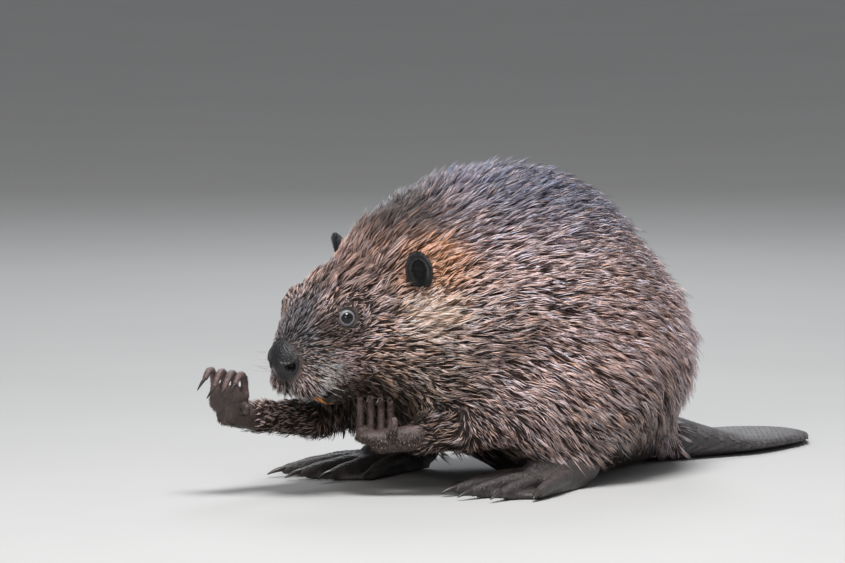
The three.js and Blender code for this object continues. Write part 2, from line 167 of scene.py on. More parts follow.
def normal_array(mesh):
    return vertex_array(mesh, "normal")


def edge_array(mesh):
    flat = np.empty(len(mesh.edges) * 2, np.int64)
    mesh.edges.foreach_get("vertices", flat)
    return flat.reshape(-1, 2)


def set_vertices(mesh, points):
    mesh.vertices.foreach_set("co", points.ravel())
    mesh.update()


def finished(bm, name):
    """What was built, as a new mesh."""
    mesh = bpy.data.meshes.new(name)
    bm.to_mesh(mesh)
    bm.free()
    return mesh


def evaluated(obj):
    """What the object's modifiers make of its mesh, as a new mesh."""
    depsgraph = bpy.context.evaluated_depsgraph_get()
    return bpy.data.meshes.new_from_object(obj.evaluated_get(depsgraph))


def discard(obj):
    mesh = obj.data
    bpy.data.objects.remove(obj)
    bpy.data.meshes.remove(mesh)


def store_point_colours(mesh, colour):
    """Keeps a linear colour for each point, which the materials read."""
    layer = mesh.color_attributes.new("PointColour", "FLOAT_COLOR", "POINT")
    rgba = np.ones((len(colour), 4), np.float32)
    rgba[:, :3] = colour
    layer.data.foreach_set("color", rgba.ravel())


def neighbour_mean(values, edges, degree):
    total = np.empty_like(values)
    for axis in range(values.shape[1]):
        column = values[:, axis]
        total[:, axis] = np.bincount(edges[:, 0], column[edges[:, 1]], len(values))
        total[:, axis] += np.bincount(edges[:, 1], column[edges[:, 0]], len(values))
    return total / degree[:, None]


def degree_of(edges, count):
    return np.maximum(np.bincount(edges.ravel(), minlength=count), 1)


def spread_values(values, edges, rounds):
    """Values that each round moves most of the way to the mean of their neighbours."""
    degree = degree_of(edges, len(values))
    for _ in range(rounds):
        values = 0.4 * values + 0.6 * neighbour_mean(values, edges, degree)
    return values


def diffuse(points, edges, weight, rounds):
    """Points smoothed as strongly as their weight."""
    degree = degree_of(edges, len(points))
    points = points.copy()
    for _ in range(rounds):
        points += weight[:, None] * (neighbour_mean(points, edges, degree) - points)
    return points


def remeshed(name, nodes, forms, voxel, grow=0.6 * MM):
    """One closed skin round copies of the nodes, each grown so that the cuts close, and closed forms."""
    joined = bmesh.new()
    for points, faces in forms:
        base = [joined.verts.new(p) for p in points]
        for face in faces:
            joined.faces.new([base[i] for i in face])
    for node in nodes:
        one = bmesh.new()
        one.from_mesh(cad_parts[node].data)
        bmesh.ops.remove_doubles(one, verts=one.verts, dist=1e-6)
        bmesh.ops.recalc_face_normals(one, faces=one.faces)
        one.normal_update()
        moved = [v.co + v.normal * grow for v in one.verts]
        for v, place in zip(one.verts, moved):
            v.co = place
        part = finished(one, "part")
        joined.from_mesh(part)
        bpy.data.meshes.remove(part)
    bmesh.ops.recalc_face_normals(joined, faces=joined.faces)
    obj = link(name, finished(joined, name))
    remesh = obj.modifiers.new("voxels", "REMESH")
    remesh.mode = "VOXEL"
    remesh.voxel_size = voxel
    result = evaluated(obj)
    discard(obj)
    return result


def refine(mesh, wanted):
    """Subdivides once the faces whose corners are all wanted; wanted takes and returns arrays."""
    keep = wanted(vertex_array(mesh))
    bm = bmesh.new()
    bm.from_mesh(mesh)
    bm.verts.ensure_lookup_table()
    faces = [f for f in bm.faces if all(keep[v.index] for v in f.verts)]
    edges = {e for f in faces for e in f.edges}
    bmesh.ops.subdivide_edges(bm, edges=list(edges), cuts=1, use_grid_fill=True)
    bmesh.ops.triangulate(bm, faces=[f for f in bm.faces if len(f.verts) > 4])
    bm.to_mesh(mesh)
    bm.free()
    mesh.update()


# ------------------------------------------------------------------ markings, with painted shade and sky sheen
# Linear colours of the fur's tips: the coat's own markings, with painted shade and a painted sky reflection
# among them. The patches are soft ellipsoids in millimetres, laid on in turn.
FLANK = (0.57, 0.395, 0.37)
# The back colour below is partly the greyer fur of the back and partly a painted reflection of the sky on wet
# fur.
BACK_AND_SKY_SHEEN = (0.295, 0.272, 0.338)
RUMP = (0.97, 0.78, 0.83)
# The underside colour below is painted shade on fur that faces down.
SHADED_UNDERSIDE = (0.13, 0.09, 0.07)


def both(name, where, centre, *rest):
    """A patch and then its mirror image on the other side."""
    x, y, z = centre
    return (name, where, centre, *rest), (name + " mirrored", where, (x, -y, z), *rest)


PALE_NECK = (36, 78, -25), (32, 40, 23)   # middle and radii in the frame of the head, in mm
# Name, frame, middle, radii, colour and how much of the colour under it each patch covers.
PATCHES = [
    *both("lower edge", "body", (30, -70, 38), (190, 130, 78), (0.17, 0.13, 0.118), 0.9),
    ("shoulders", "body", (-146, 0, 146), (46, 150, 60), (0.20, 0.14, 0.12), 0.93),
    # Painted shade: the chest patch is partly the chest's own dark wet fur and partly the shade under the
    # chin.
    ("chest", "body", (-195, 0, 72), (100, 165, 78), (0.055, 0.036, 0.026), 0.99),
    # Painted shade: the forearms patch is partly their own dark fur and partly the shade under the head.
    ("forearms", "body", (-262, 10, 58), (80, 110, 46), (0.075, 0.052, 0.042), 0.9),
    ("head", "head", (54, 0, -10), (84, 75, 80), (0.085, 0.053, 0.041), 0.95),
    ("crown", "head", (30, 0, 30), (50, 58, 42), (0.28, 0.165, 0.135), 0.9),
    ("left ear ring", "head", (4, 58, -2), (42, 38, 36), (0.86, 0.43, 0.245), 0.95),
    ("right ear ring", "head", (4, -52, -4), (42, 38, 36), (0.86, 0.43, 0.245), 0.95),
    *both("cheek", "head", (56, 46, -52), (52, 34, 34), (0.27, 0.175, 0.135), 0.85),
    *both("pale neck", "head", *PALE_NECK, (2.3, 1.75, 1.45), 1.0),
    ("bridge", "head", (122, 0, 16), (50, 22, 26), (0.058, 0.053, 0.060), 0.97),
    *both("side of the nose", "head", (126, 22, 10), (32, 18, 20), (0.070, 0.063, 0.068), 0.9),
    *both("side of the lip", "head", (128, 22, -12), (24, 14, 20), (0.17, 0.145, 0.135), 0.85),
    *both("whisker pad", "head", (131, 29, -27), (20, 16, 17), (0.34, 0.315, 0.30), 0.85),
    # Painted shade: the lips patch is the pale lips darkened partly as shade, and the lower lip patch below
    # it is painted shade under the lips.
    ("lips", "head", (146, 0, -34), (22, 34, 24), (0.105, 0.098, 0.093), 0.95),
    ("lower lip", "head", (134, 0, -54), (32, 36, 16), (0.055, 0.05, 0.047), 0.9),
    ("chin", "head", (98, 0, -78), (46, 32, 18), (0.16, 0.115, 0.09), 0.9),
    *both("round the eye", "head", (107, 35, 8), (34, 20, 22), (0.082, 0.055, 0.042), 0.93),
    # Painted shade: the nape and far shoulder patches darken the fur behind the raised head as shade, over
    # its own darker tone.
    ("nape", "body", (-192, 8, 250), (60, 80, 52), (0.062, 0.045, 0.038), 0.93),
    ("far shoulder", "body", (-146, 56, 252), (60, 70, 50), (0.085, 0.065, 0.060), 0.9),
    *both("side of the neck", "head", (58, 76, -68), (56, 46, 26), (0.15, 0.105, 0.085), 0.9),
    ("shoulder crease", "head", (-18, 84, -88), (46, 44, 22), (0.20, 0.13, 0.10), 0.7),
]


def markings_and_painted_light(points, normals):
    """The colour of the tips of the fur rooted at each point, the same for skin and coat, painted shade and
    sky reflection included.
    """
    world = local(points, BODY_FRAME)
    inside_head = local(points, HEAD)
    # This weight lays the painted sky reflection on high fur that faces up.
    sky_facing_top = smooth(normals[:, 2], 0.15, 0.85) * smooth(world[:, 2], 150, 260)
    rear = smooth(world[:, 0], 30, 140)
    # Painted shade: fur that faces down is darkened towards the underside colour.
    under = smooth(-normals[:, 2], 0.35, 0.9)
    colour = np.array(FLANK) * np.ones((len(points), 1))
    covers = [(RUMP, rear * (1 - sky_facing_top)), (BACK_AND_SKY_SHEEN, sky_facing_top * smooth(world[:, 0], -190, -90)), (SHADED_UNDERSIDE, under)]
    for _, where, centre, radii, tint, strength in PATCHES:
        reach = reach_in(inside_head if where == "head" else world, centre, radii)
        covers.append((tint, strength * (1 - smooth(reach, 0.3, 1.25))))
    for tint, weight in covers:
        colour += weight[:, None] * (np.array(tint) - colour)
    return colour


# ------------------------------------------------------------------ lie of the coat
def head_weight(points):
    place = local(points, HEAD)
    return smooth(place[:, 0], -75, 5) * smooth(place[:, 2], -112, -88)


def along_skin(way, normals):
    return unit(way - normals * np.sum(way * normals, axis=1, keepdims=True))


def lie(points, normals):
    """The way the fur points at each place, as unit vectors along the skin."""
    world = local(points, BODY_FRAME)
    from_nose = unit(points - np.array(head(150, 0, 6)))
    from_crown = unit(points - np.array(head(30, 0, -30)))
    rear = smooth(world[:, 0], -60, 60)
    low = 1 - smooth(world[:, 2], 60, 190)
    trunk = np.stack([
        0.9 - 0.2 * low,
        0.12 * np.sign(world[:, 1]),
        -0.12 - 0.75 * low - 0.35 * rear,
    ], axis=1)
    spread = (1 - rear)[:, None]
    trunk = unit(trunk) + spread * 1.1 * from_crown
    near_head = head_weight(points)[:, None]
    way = trunk * (1 - near_head) + from_nose * near_head * 1.6
    for side, _ in IN_BODY:
        weight = foreleg_weight(points, side)[:, None]
        way = way * (1 - weight) + np.array(ARM_WAYS[side]) * weight
    return along_skin(way, normals)


def limb_lie(points, normals, kind):
    """On the paws the hair points round the grip to the finger tips, on the feet towards the toes."""
    way = np.array((-1.0, 0.0, -0.15)) * np.ones((len(points), 1))
    if kind == "paws":
        for side, _ in IN_BODY:
            axis, centre = np.array(GRIPS[side].to_3x3().col[0]), np.array(GRIPS[side].translation)
            near = (np.linalg.norm(points - centre, axis=1) < PAW_REACH * MM)[:, None]
            way = np.where(near, np.cross(points - centre, axis), way)
    return along_skin(way, normals)


def foreleg_weight(points, side):
    start, end = np.array(ELBOWS[side]), np.array(WRISTS[side])
    along = end - start
    t = np.clip(((points - start) @ along) / (along @ along), 0, 1)
    away = np.linalg.norm(points - (start + t[:, None] * along), axis=1) / MM
    return (1 - smooth(away, 22, 34)) * smooth(t, 0.0, 0.25)


def nose_pad(points):
    """One on the bare leather of the nose, zero on the furred muzzle."""
    reach = reach_in(local(points, HEAD), (147.5, 0, -3.5), (16, 19.5, 18.5))
    return 1 - smooth(reach, 0.92, 1.12)


# ------------------------------------------------------------------ closed forms for paws and feet
PAW_REACH = 60                   # all of a forepaw is nearer than this to its grip, in mm
ELBOWS = {"left": body(-166, -86, 60), "right": body(-212, 70, 60)}
WRISTS = {"left": body(-217, -53, 50), "right": body(-303, 67, 67)}
ARM_WAYS = {side: (WRISTS[side] - ELBOWS[side]).normalized() for side in ELBOWS}


def tube(path, halves, sides, broad=1.0, across=None, carried=False):
    """Points and faces of a closed tube with half a width at each point of its path.

    It is broad times as wide one way, which is across, or level; or that way is carried on from ring to ring.
    """
    points, faces = [], []
    for n, centre in enumerate(path):
        ahead = (path[min(n + 1, len(path) - 1)] - path[max(n - 1, 0)]).normalized()
        seed = across if across is not None else Vector((0, 0, 1)).cross(ahead)
        if seed.length < 1e-3:
            seed = Vector((1, 0, 0))
        one = (seed - ahead * seed.dot(ahead)).normalized()
        two = ahead.cross(one)
        if carried:
            across = one
        for s in range(sides):
            turn = 2 * math.pi * s / sides
            place = centre + one * math.cos(turn) * halves[n] * broad
            points.append(place + two * math.sin(turn) * halves[n])
    last = (len(path) - 1) * sides
    for ring in range(0, last, sides):
        for s in range(sides):
            a, b = ring + s, ring + (s + 1) % sides
            faces.append((a, b, b + sides, a + sides))
    faces.append(tuple(range(sides))[::-1])
    faces.append(tuple(last + s for s in range(sides)))
    return points, faces


def tube_form(path, halves, sides=12):
    """A closed tube with rounded ends; halves are in millimetres."""
    halves = [h * MM for h in halves]
    first, last = (path[0] - path[1]).normalized(), (path[-1] - path[-2]).normalized()
    path = [path[0] + first * halves[0] * 0.6] + path + [path[-1] + last * halves[-1] * 0.6]
    halves = [halves[0] * 0.6] + halves + [halves[-1] * 0.6]
    return tube(path, halves, sides, carried=True)


def sphere_form(around, rows):
    """Points and faces of a ball of radius 1, sorted because Blender's own order of faces varies."""
    bm = bmesh.new()
    bmesh.ops.create_uvsphere(bm, u_segments=around, v_segments=rows, radius=1)
    points, faces = [v.co.copy() for v in bm.verts], []
    for face in bm.faces:
        corners = [v.index for v in face.verts]
        lowest = corners.index(min(corners))
        faces.append(corners[lowest:] + corners[:lowest])
    bm.free()
    return points, sorted(faces)


def ball_form(matrix, centre, radii, around=20):
    """Points and faces of an ellipsoid, centre and radii in millimetres in the frame of the matrix."""
    points, faces = sphere_form(around, around * 2 // 3)
    return [matrix @ ((Vector(centre) + Vector(c * r for c, r in zip(p, radii))) * MM) for p in points], faces


def grip_frame(x, y, z):
    along = Vector((0.712, -0.688, -0.139)).normalized()
    side = Vector((0, 0, 1)).cross(along).normalized()
    turn = Matrix((along, side, along.cross(side))).transposed().to_4x4()
    return Matrix.Translation(body(x, y, z)) @ turn


GRIPS = {"right": grip_frame(-337, 52, 96), "left": grip_frame(-236, -34, 72)}
CURLS = {"right": (112, -196), "left": (178, -176)}
CURL_REACH = (16.0, 14.0)        # from the axis of the grip to the middle of a finger, root and tip
SLANTS = {"right": -10, "left": -5}    # how far each finger runs along the grip on its way round
FINGERS = list(zip((-12.5, -3.3, 5.9, 15.1), (0.86, 1, 1, 0.88)))
HEEL = (-48, 106)                # of the right foot in the frame of the solids, in mm
FOOT_TURN = 3                    # degrees outwards
TOE_LENGTH = 150                 # from the heel to the tip of the longest toe
TOES = list(zip((-25, -12, 0, 12, 24), (0.8, 0.95, 1, 0.98, 0.84)))
PALMS = {
    "right": [((1, 17, -12), (18, 7.5, 14)), ((-10, 14, -4), (7, 6, 7)), ((9, 15, -6), (8, 6, 8))],
    "left": [((1, 1, -21), (18, 14, 7.5)), ((-10, 6, -17), (7, 7, 6)), ((9, 5, -17), (8, 7, 6))],
}
THUMBS = {
    "right": [(14, 16, -14), (17, 9, -17), (18, 0, -17), (18, -7, -13)],
    "left": [(12, -2, -18), (16, -11, -15), (17, -15, -7), (16, -15, 0)],
}
PALM_HEELS = {"right": (0, 16, -24), "left": (4, -3, -24)}


def bump_at(t, where, width=0.1):
    return math.exp(-((t - where) / width) ** 2)


def finger_point(side, along, degrees, reach, t):
    """A point that far along the grip and round it, t of the way from a finger's root to its tip."""
    angle = math.radians(degrees)
    place = Vector((along + SLANTS[side] * t, math.sin(angle) * reach, math.cos(angle) * reach))
    return GRIPS[side] @ (place * MM)


def paw_forms(side):
    """A palm with its pads, four fingers bent round the empty grip, a thumb and the wrist."""
    grip = GRIPS[side]
    start, turn = CURLS[side]
    forms = [ball_form(grip, centre, radii) for centre, radii in PALMS[side]]
    for along, share in FINGERS:
        path, halves = [], []
        for n in range(9):
            t = n / 8
            path.append(finger_point(side, along, start + turn * t * share, between(CURL_REACH, t), t))
            halves.append(3.5 - 0.8 * t + 0.45 * bump_at(t, 0.36) + 0.5 * bump_at(t, 0.74))
        forms.append(tube_form(path, halves))
    thumb = [grip @ (Vector(p) * MM) for p in THUMBS[side]]
    forms.append(tube_form(thumb, [4.8, 4.4, 3.8, 2.8]))
    wrist = WRISTS[side].lerp(ELBOWS[side], 0.28)
    forms.append(tube_form([wrist, grip @ (Vector(PALM_HEELS[side]) * MM)], [12.5, 10.5]))
    return forms


def toe_point(side, fan, reach, height):
    """A point that far from the heel, in a direction that many degrees outwards."""
    sign = 1 if side == "right" else -1
    angle = math.radians(fan + FOOT_TURN)
    return body(HEEL[0] - math.cos(angle) * reach, sign * (HEEL[1] + math.sin(angle) * reach), height)


def foot_forms(side):
    """Instep, sole, five long toes with knuckles and the low web between them."""
    sign = 1 if side == "right" else -1
    instep = [body(HEEL[0] + x, sign * (HEEL[1] + y), z)
              for x, y, z in ((8, 0, 16.5), (-14, 0, 16.5), (-66, 2, 14))]
    forms = [
        tube_form(instep, [12, 16.5, 13], 16),
        ball_form(BODY_FRAME, (HEEL[0] - 52, sign * (HEEL[1] + 2), 10.5), (40, 21, 10.5)),
    ]
    for fan, share in TOES:
        path, halves = [], []
        for n in range(11):
            t = n / 10
            part = 0.34 + 0.64 * t
            height = 13.0 - 3.0 * t - 4.6 * t ** 3
            path.append(toe_point(side, fan * (0.9 + 0.1 * min(t * 2, 1)), TOE_LENGTH * share * part, height))
            halves.append(7.6 - 3.3 * t ** 1.6 + 0.8 * bump_at(t, 0.45) + 0.7 * bump_at(t, 0.78, 0.08))
        forms.append(tube_form(path, halves))
    rim = []
    for n, (fan, share) in enumerate(TOES):
        rim.append((fan, share * 0.93))
        if n + 1 < len(TOES):
            rim.append(((fan + TOES[n + 1][0]) / 2, 0.80))
    rim += [(160, 0.05), (-160, 0.05)]
    web = [toe_point(side, fan, TOE_LENGTH * share, height) for height in (5.0, 0.0) for fan, share in rim]
    count = len(rim)
    faces = [tuple(range(count)), tuple(range(count, 2 * count))[::-1]]
    faces += [(k, k + count, (k + 1) % count + count, (k + 1) % count) for k in range(count)]
    forms.append((web, faces))
    return forms


def limb_end(name, forms, voxel, share):
    """A paw or foot made of the forms, smoothed a little, with that share of its faces kept."""
    mesh = remeshed(name, [], forms, voxel)
    points = diffuse(vertex_array(mesh), edge_array(mesh), np.full(len(mesh.vertices), 0.6), 2)
    points[:, 2] = np.maximum(points[:, 2], 0)
    set_vertices(mesh, points)
    return thinned(mesh, np.ones(len(points)), share)


# ------------------------------------------------------------------ the skin
# For each node: how strongly its facets are smoothed away, and how far the skin lies under the coat.
FLESH = {
    "trunk": (1.0, 10.5), "neck": (0.8, 9.0), "head": (0.28, 4.6), "muzzle": (0.10, 1.6),
    "nose": (0.09, 0.2), "left_ear": (0.28, 4.0), "right_ear": (0.28, 4.0),
    "left_eye": (0.2, 2.5), "right_eye": (0.2, 2.5),
    "left_foreleg": (0.14, 3.4), "right_foreleg": (0.14, 3.4),
    "left_forepaw": (0.025, 0.3), "right_forepaw": (0.025, 0.3),
    "left_hind_leg": (0.6, 8.0), "right_hind_leg": (0.6, 8.0),
    "left_hind_foot": (0.03, 0.3), "right_hind_foot": (0.03, 0.3), "tail": (0.08, 0.8),
}
NAMES = list(FLESH)
BODY_NODES = [name for name in NAMES if not name.endswith(("_ear", "forepaw", "hind_foot"))]
SKIN_VOXEL, PAW_VOXEL, FOOT_VOXEL = 2.1 * MM, 0.85 * MM, 1.8 * MM
SKIN_KEPT, PAW_KEPT, FOOT_KEPT = 0.25, 0.4, 0.5    # the share of faces left after thinning


def ear_frame(side):
    """Out of the open face of the ear, across it and up along it."""
    sign = 1 if side == "left" else -1
    up = Vector((-0.1, sign * 0.16, 0.97)).normalized()
    facing = Vector((0.66, sign * 0.75, 0))
    facing = (facing - up * facing.dot(up)).normalized()
    turn = Matrix((facing, up.cross(facing), up)).transposed().to_4x4()
    place = Vector((12, 58, 7)) if side == "left" else Vector((8, -50, 0))
    return HEAD @ Matrix.Translation(place * MM) @ turn


def plugs():
    """Forms that fill the pockets left in the body for the roots of the ears and of the feet."""
    forms = []
    for side, sign in IN_BODY:
        forms.append(ball_form(ear_frame(side), (-2.5, 0, -16), (3.5, 10, 8)))
        foot = [body(HEEL[0] - 10, sign * HEEL[1], 16.5), body(HEEL[0] - 50, sign * HEEL[1], 15)]
        forms.append(tube_form(foot, [15, 13], 14))
    return forms


def node_finder(names):
    """A tree of the faces of the nodes, and the index of the node that each face belongs to."""
    points, faces, owner = [], [], []
    for index, name in enumerate(names):
        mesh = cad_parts[name].data
        base = len(points)
        points.extend(v.co.copy() for v in mesh.vertices)
        for face in mesh.polygons:
            faces.append([base + i for i in face.vertices])
            owner.append(index)
    return BVHTree.FromPolygons(points, faces), owner


def labels_of(points, tree, owner):
    """The index of the nearest node for each point."""
    return np.array([owner[tree.find_nearest(p)[2]] for p in points.tolist()])


def of_nodes(label, *nodes):
    return np.isin(label, [NAMES.index(n) for n in nodes])


EYE_AXES = {side: (HEAD_TURN @ Vector((0.34, sign * 0.84, 0.42))).normalized() for side, sign in IN_HEAD}
EYE_RADIUS = 7 * MM


def set_eyes_in(points):
    """Brings the skin to the rim of each eye and sinks a pit behind the eyeball."""
    for side, _ in IN_HEAD:
        centre, axis = np.array(EYES[side]), np.array(EYE_AXES[side])
        offset = points - centre
        height = offset @ axis / MM
        across = np.linalg.norm(offset - np.outer(offset @ axis, axis), axis=1) / MM
        near = (1 - smooth(across, 11, 21)) * smooth(height, -16, -10)
        rim = 2.9 - 0.10 * np.maximum(across - 8.5, 0) ** 1.3
        target = rim - 6.6 * (1 - smooth(across, 6.8, 8.0))
        points = points + (near * (target - height) * MM)[:, None] * axis
    return points


NOSTRILS = {side: (148.5, sign * 10.0, -4.5) for side, sign in IN_HEAD}


def carve_face(points, normals):
    """Nostrils, the grooves in and under the nose, and the full upper lips."""
    place = local(points, HEAD)
    x, y, z = place.T
    push = np.zeros(len(points))
    for side, sign in IN_HEAD:
        centre = np.array(NOSTRILS[side])
        dx = (x - centre[0]) * 0.8 + (y - centre[1]) * -0.6 * sign
        dz = z - centre[2]
        bent = dz - 0.09 * dx ** 2 + 0.9
        reach = np.sqrt((dx / 5.0) ** 2 + (bent / 3.1) ** 2)
        near = (np.linalg.norm(place - centre, axis=1) < 13) & (y * sign > 0)
        push -= np.where(near, 5.0 * (1 - smooth(reach, 0.35, 1.15)), 0)
        push += np.where(near, 1.5 * np.exp(-((reach - 1.5) / 0.38) ** 2), 0)
    under_nose = smooth(x, 126, 134) * (1 - smooth(z, -12, -8))
    push -= 2.2 * np.exp(-(y / 1.5) ** 2) * under_nose * smooth(z, -46, -40)
    full = np.exp(-((x - 146) / 15) ** 2 - ((z + 33) / 11) ** 2)
    push += 3.6 * full * smooth(np.abs(y), 1, 6)
    tip = smooth(x, 144, 150) * smooth(z, -14, -8) * (1 - smooth(z, 4, 10))
    push -= 0.8 * np.exp(-(y / 1.2) ** 2) * tip
    return points + normals * (push * MM)[:, None]


def make_skin():
    """The skin without materials, and the tree and owners that tell which node is nearest."""
    mesh = remeshed("skin", BODY_NODES, plugs(), SKIN_VOXEL)
    tree, owner = node_finder(NAMES)
    points, edges = vertex_array(mesh), edge_array(mesh)
    label = labels_of(points, tree, owner)
    smoothing, coat_depth = np.array([FLESH[name] for name in NAMES]).T
    strength = spread_values(smoothing[label][:, None], edges, 6)[:, 0]
    points = diffuse(points, edges, strength, 90)
    set_vertices(mesh, points)

    depth = spread_values(coat_depth[label][:, None], edges, 30)[:, 0]
    depth = depth * (1 - 0.9 * (1 - smooth(points[:, 2] / MM, 1, 16)))
    points = points - normal_array(mesh) * (depth * MM)[:, None]
    points = diffuse(points, edges, np.minimum(strength, 0.5), 8)
    points[:, 2] = np.maximum(points[:, 2], 0)
    set_vertices(mesh, points)

    mesh = thinned(mesh, np.clip(strength * 1.3, 0, 1), SKIN_KEPT)
    for near, rounds, after in ((near_face, 6, set_eyes_in), (near_nose, 4, None)):
        refine(mesh, near)
        points = vertex_array(mesh)
        points = diffuse(points, edge_array(mesh), 0.5 * near(points), rounds)
        set_vertices(mesh, after(points) if after else points)
    set_vertices(mesh, carve_face(points, normal_array(mesh)))
    whole = bmesh.new()
    whole.from_mesh(mesh)
    for side, _ in IN_BODY:
        for part in (limb_end("paw", paw_forms(side), PAW_VOXEL, PAW_KEPT),
                     limb_end("foot", foot_forms(side), FOOT_VOXEL, FOOT_KEPT)):
            whole.from_mesh(part)
            bpy.data.meshes.remove(part)
    whole.to_mesh(mesh)
    whole.free()
    return mesh, tree, owner


def thinned(mesh, broad, share):
    """The mesh with that share of its faces; where broad is near 1 it gives up the most of them."""
    obj = link("thin", mesh)
    group = obj.vertex_groups.new(name="broad")
    for level in np.linspace(0.1, 1, 10):
        chosen = np.nonzero(np.abs(broad - level) <= 0.05)[0].tolist()
        group.add(chosen, float(level), "REPLACE")
    modifier = obj.modifiers.new("thin", "DECIMATE")
    modifier.ratio = share
    modifier.vertex_group = "broad"
    modifier.vertex_group_factor = 6
    result = evaluated(obj)
    discard(obj)
    return result


def near_face(points):
    """Round the eyes and over the muzzle, where the skin needs finer faces."""
    place = local(points, HEAD)
    x, y, z = place.T
    by_eye = (from_eye(place, 1) < 24) | (from_eye(place, -1) < 24)
    return by_eye | ((x > 108) & (np.abs(y) < 48) & (z > -70) & (z < 40))


def near_nose(points):
    x, y, z = local(points, HEAD).T
    return (x > 128) & (np.abs(y) < 24) & (z > -42) & (z < 20)


def unwrap(mesh):
    """Unwraps a mesh by its own shape; tufts take their patches from here."""
    mesh.uv_layers.new(name="OFBake")
    obj = link("unwrapping", mesh)
    bpy.context.view_layer.objects.active = obj
    obj.select_set(True)
    bpy.ops.object.mode_set(mode="EDIT")
    bpy.ops.mesh.select_all(action="SELECT")
    bpy.ops.uv.smart_project(angle_limit=math.radians(66), island_margin=0.004)
    bpy.ops.object.mode_set(mode="OBJECT")
    bpy.data.objects.remove(obj)


# ------------------------------------------------------------------ colours of bare parts
UNDER_FUR = (0.30, 0.28, 0.27)   # the skin's colour as a share of its fur's
NOSE_COLOUR = (0.009, 0.009, 0.011)
EYE_RING_COLOUR = (0.045, 0.036, 0.032)
BARE = {                         # colours of the nodes that have no fur over them
    "ear": (0.030, 0.028, 0.030), "forepaw": (0.125, 0.082, 0.074),
    "hind_foot": (0.055, 0.046, 0.044), "tail": (0.060, 0.054, 0.054),
}
JOINT_FOLDS = (0.06, 0.30, 0.37, 0.44, 0.68, 0.74, 0.80)    # along a finger from its root


def finger_fold_shade(points, side):
    """Painted shade: one in the folds across the joints of the fingers, zero between them."""
    place = local(points, GRIPS[side])
    angle = np.degrees(np.arctan2(place[:, 1], place[:, 2]))
    start, turn = CURLS[side]
    deep = np.zeros(len(points))
    for joint in JOINT_FOLDS:
        away = (angle - (start + turn * joint) + 180) % 360 - 180
        deep = np.maximum(deep, np.exp(-(away / 2.4) ** 2))
    return deep * (np.hypot(place[:, 1], place[:, 2]) < 24)


def colour_skin(mesh, tree, owner):
    """Stores the markings with their painted shade on the skin, darker under the fur, and returns each
    point's node.
    """
    points = vertex_array(mesh)
    place = local(points, HEAD)
    label = labels_of(points, tree, owner)
    colour = markings_and_painted_light(points, normal_array(mesh)) * np.array(UNDER_FUR)
    for index, name in enumerate(NAMES):
        kind = name.replace("left_", "").replace("right_", "")
        if kind in BARE:
            colour[label == index] = BARE[kind]
    for side, _ in IN_BODY:
        on_paw = of_nodes(label, f"{side}_forepaw")
        palm = on_paw * (1 - smooth(local(points, GRIPS[side])[:, 2], -12, 4))
        # The palm is darker, and the folds across the finger joints get painted shade.
        colour *= (1 - 0.5 * palm)[:, None] * (1 - 0.55 * finger_fold_shade(points, side) * on_paw)[:, None]
    colour = spread_values(colour, edge_array(mesh), 3)
    colour += nose_pad(points)[:, None] * (np.array(NOSE_COLOUR) - colour)
    for side, sign in IN_HEAD:
        ring = (1 - smooth(from_eye(place, sign), 9, 12.5))[:, None]
        colour += ring * (np.array(EYE_RING_COLOUR) - colour)
        # Painted shade: the skin darkens inside each nostril.
        pit = np.exp(-(np.linalg.norm(place - np.array(NOSTRILS[side]), axis=1) / 3.4) ** 4)[:, None]
        colour *= 1 - 0.9 * pit
    store_point_colours(mesh, colour)
    return label


# ------------------------------------------------------------------ materials
def new_material(name, roughness, ior=1.5):
    made = bpy.data.materials.new(name)
    made.use_nodes = True
    shader = made.node_tree.nodes["Principled BSDF"]
    shader.inputs["Roughness"].default_value = roughness
    shader.inputs["IOR"].default_value = ior
    return made, made.node_tree, shader


def set_shader(material, **levels):
    """Sets inputs of the material's surface, given with _ for each space in their names."""
    shader = material.node_tree.nodes["Principled BSDF"]
    for name, level in levels.items():
        shader.inputs[name.replace("_", " ")].default_value = level


def add(tree, kind, inputs=(), **settings):
    """A node with some of its settings and inputs given."""
    node = tree.nodes.new(kind)
    for key, value in settings.items():
        setattr(node, key, value)
    for key, value in dict(inputs).items():
        node.inputs[key].default_value = value
    return node


def object_place(tree):
    return add(tree, "ShaderNodeTexCoord").outputs["Object"]


def bump(tree, shader, height, strength, distance, below=None):
    """Raises the surface by the height, or lowers it where there is another bump below."""
    node = add(tree, "ShaderNodeBump", {"Strength": strength, "Distance": distance}, invert=below is not None)
    tree.links.new(height, node.inputs["Height"])
    if below:
        tree.links.new(below, node.inputs["Normal"])
    tree.links.new(node.outputs["Normal"], shader.inputs["Normal"])
    return node.outputs["Normal"]


def noise(tree, vector, scale, detail=4.0, roughness=0.55):
    node = add(tree, "ShaderNodeTexNoise", {"Scale": scale, "Detail": detail, "Roughness": roughness})
    tree.links.new(vector, node.inputs["Vector"])
    return node.outputs["Fac"]


def tinted(tree, base, factor, low, high):
    """The base colour scaled by a factor that runs from low to high."""
    span = {"From Min": 0.3, "From Max": 0.7, "To Min": low, "To Max": high}
    spread = add(tree, "ShaderNodeMapRange", span)
    tree.links.new(factor, spread.inputs["Value"])
    mix = add(tree, "ShaderNodeVectorMath", operation="SCALE")
    tree.links.new(base, mix.inputs[0])
    tree.links.new(spread.outputs["Result"], mix.inputs["Scale"])
    return mix.outputs["Vector"]


def stored(tree, name):
    return add(tree, "ShaderNodeAttribute", attribute_name=name).outputs["Color"]


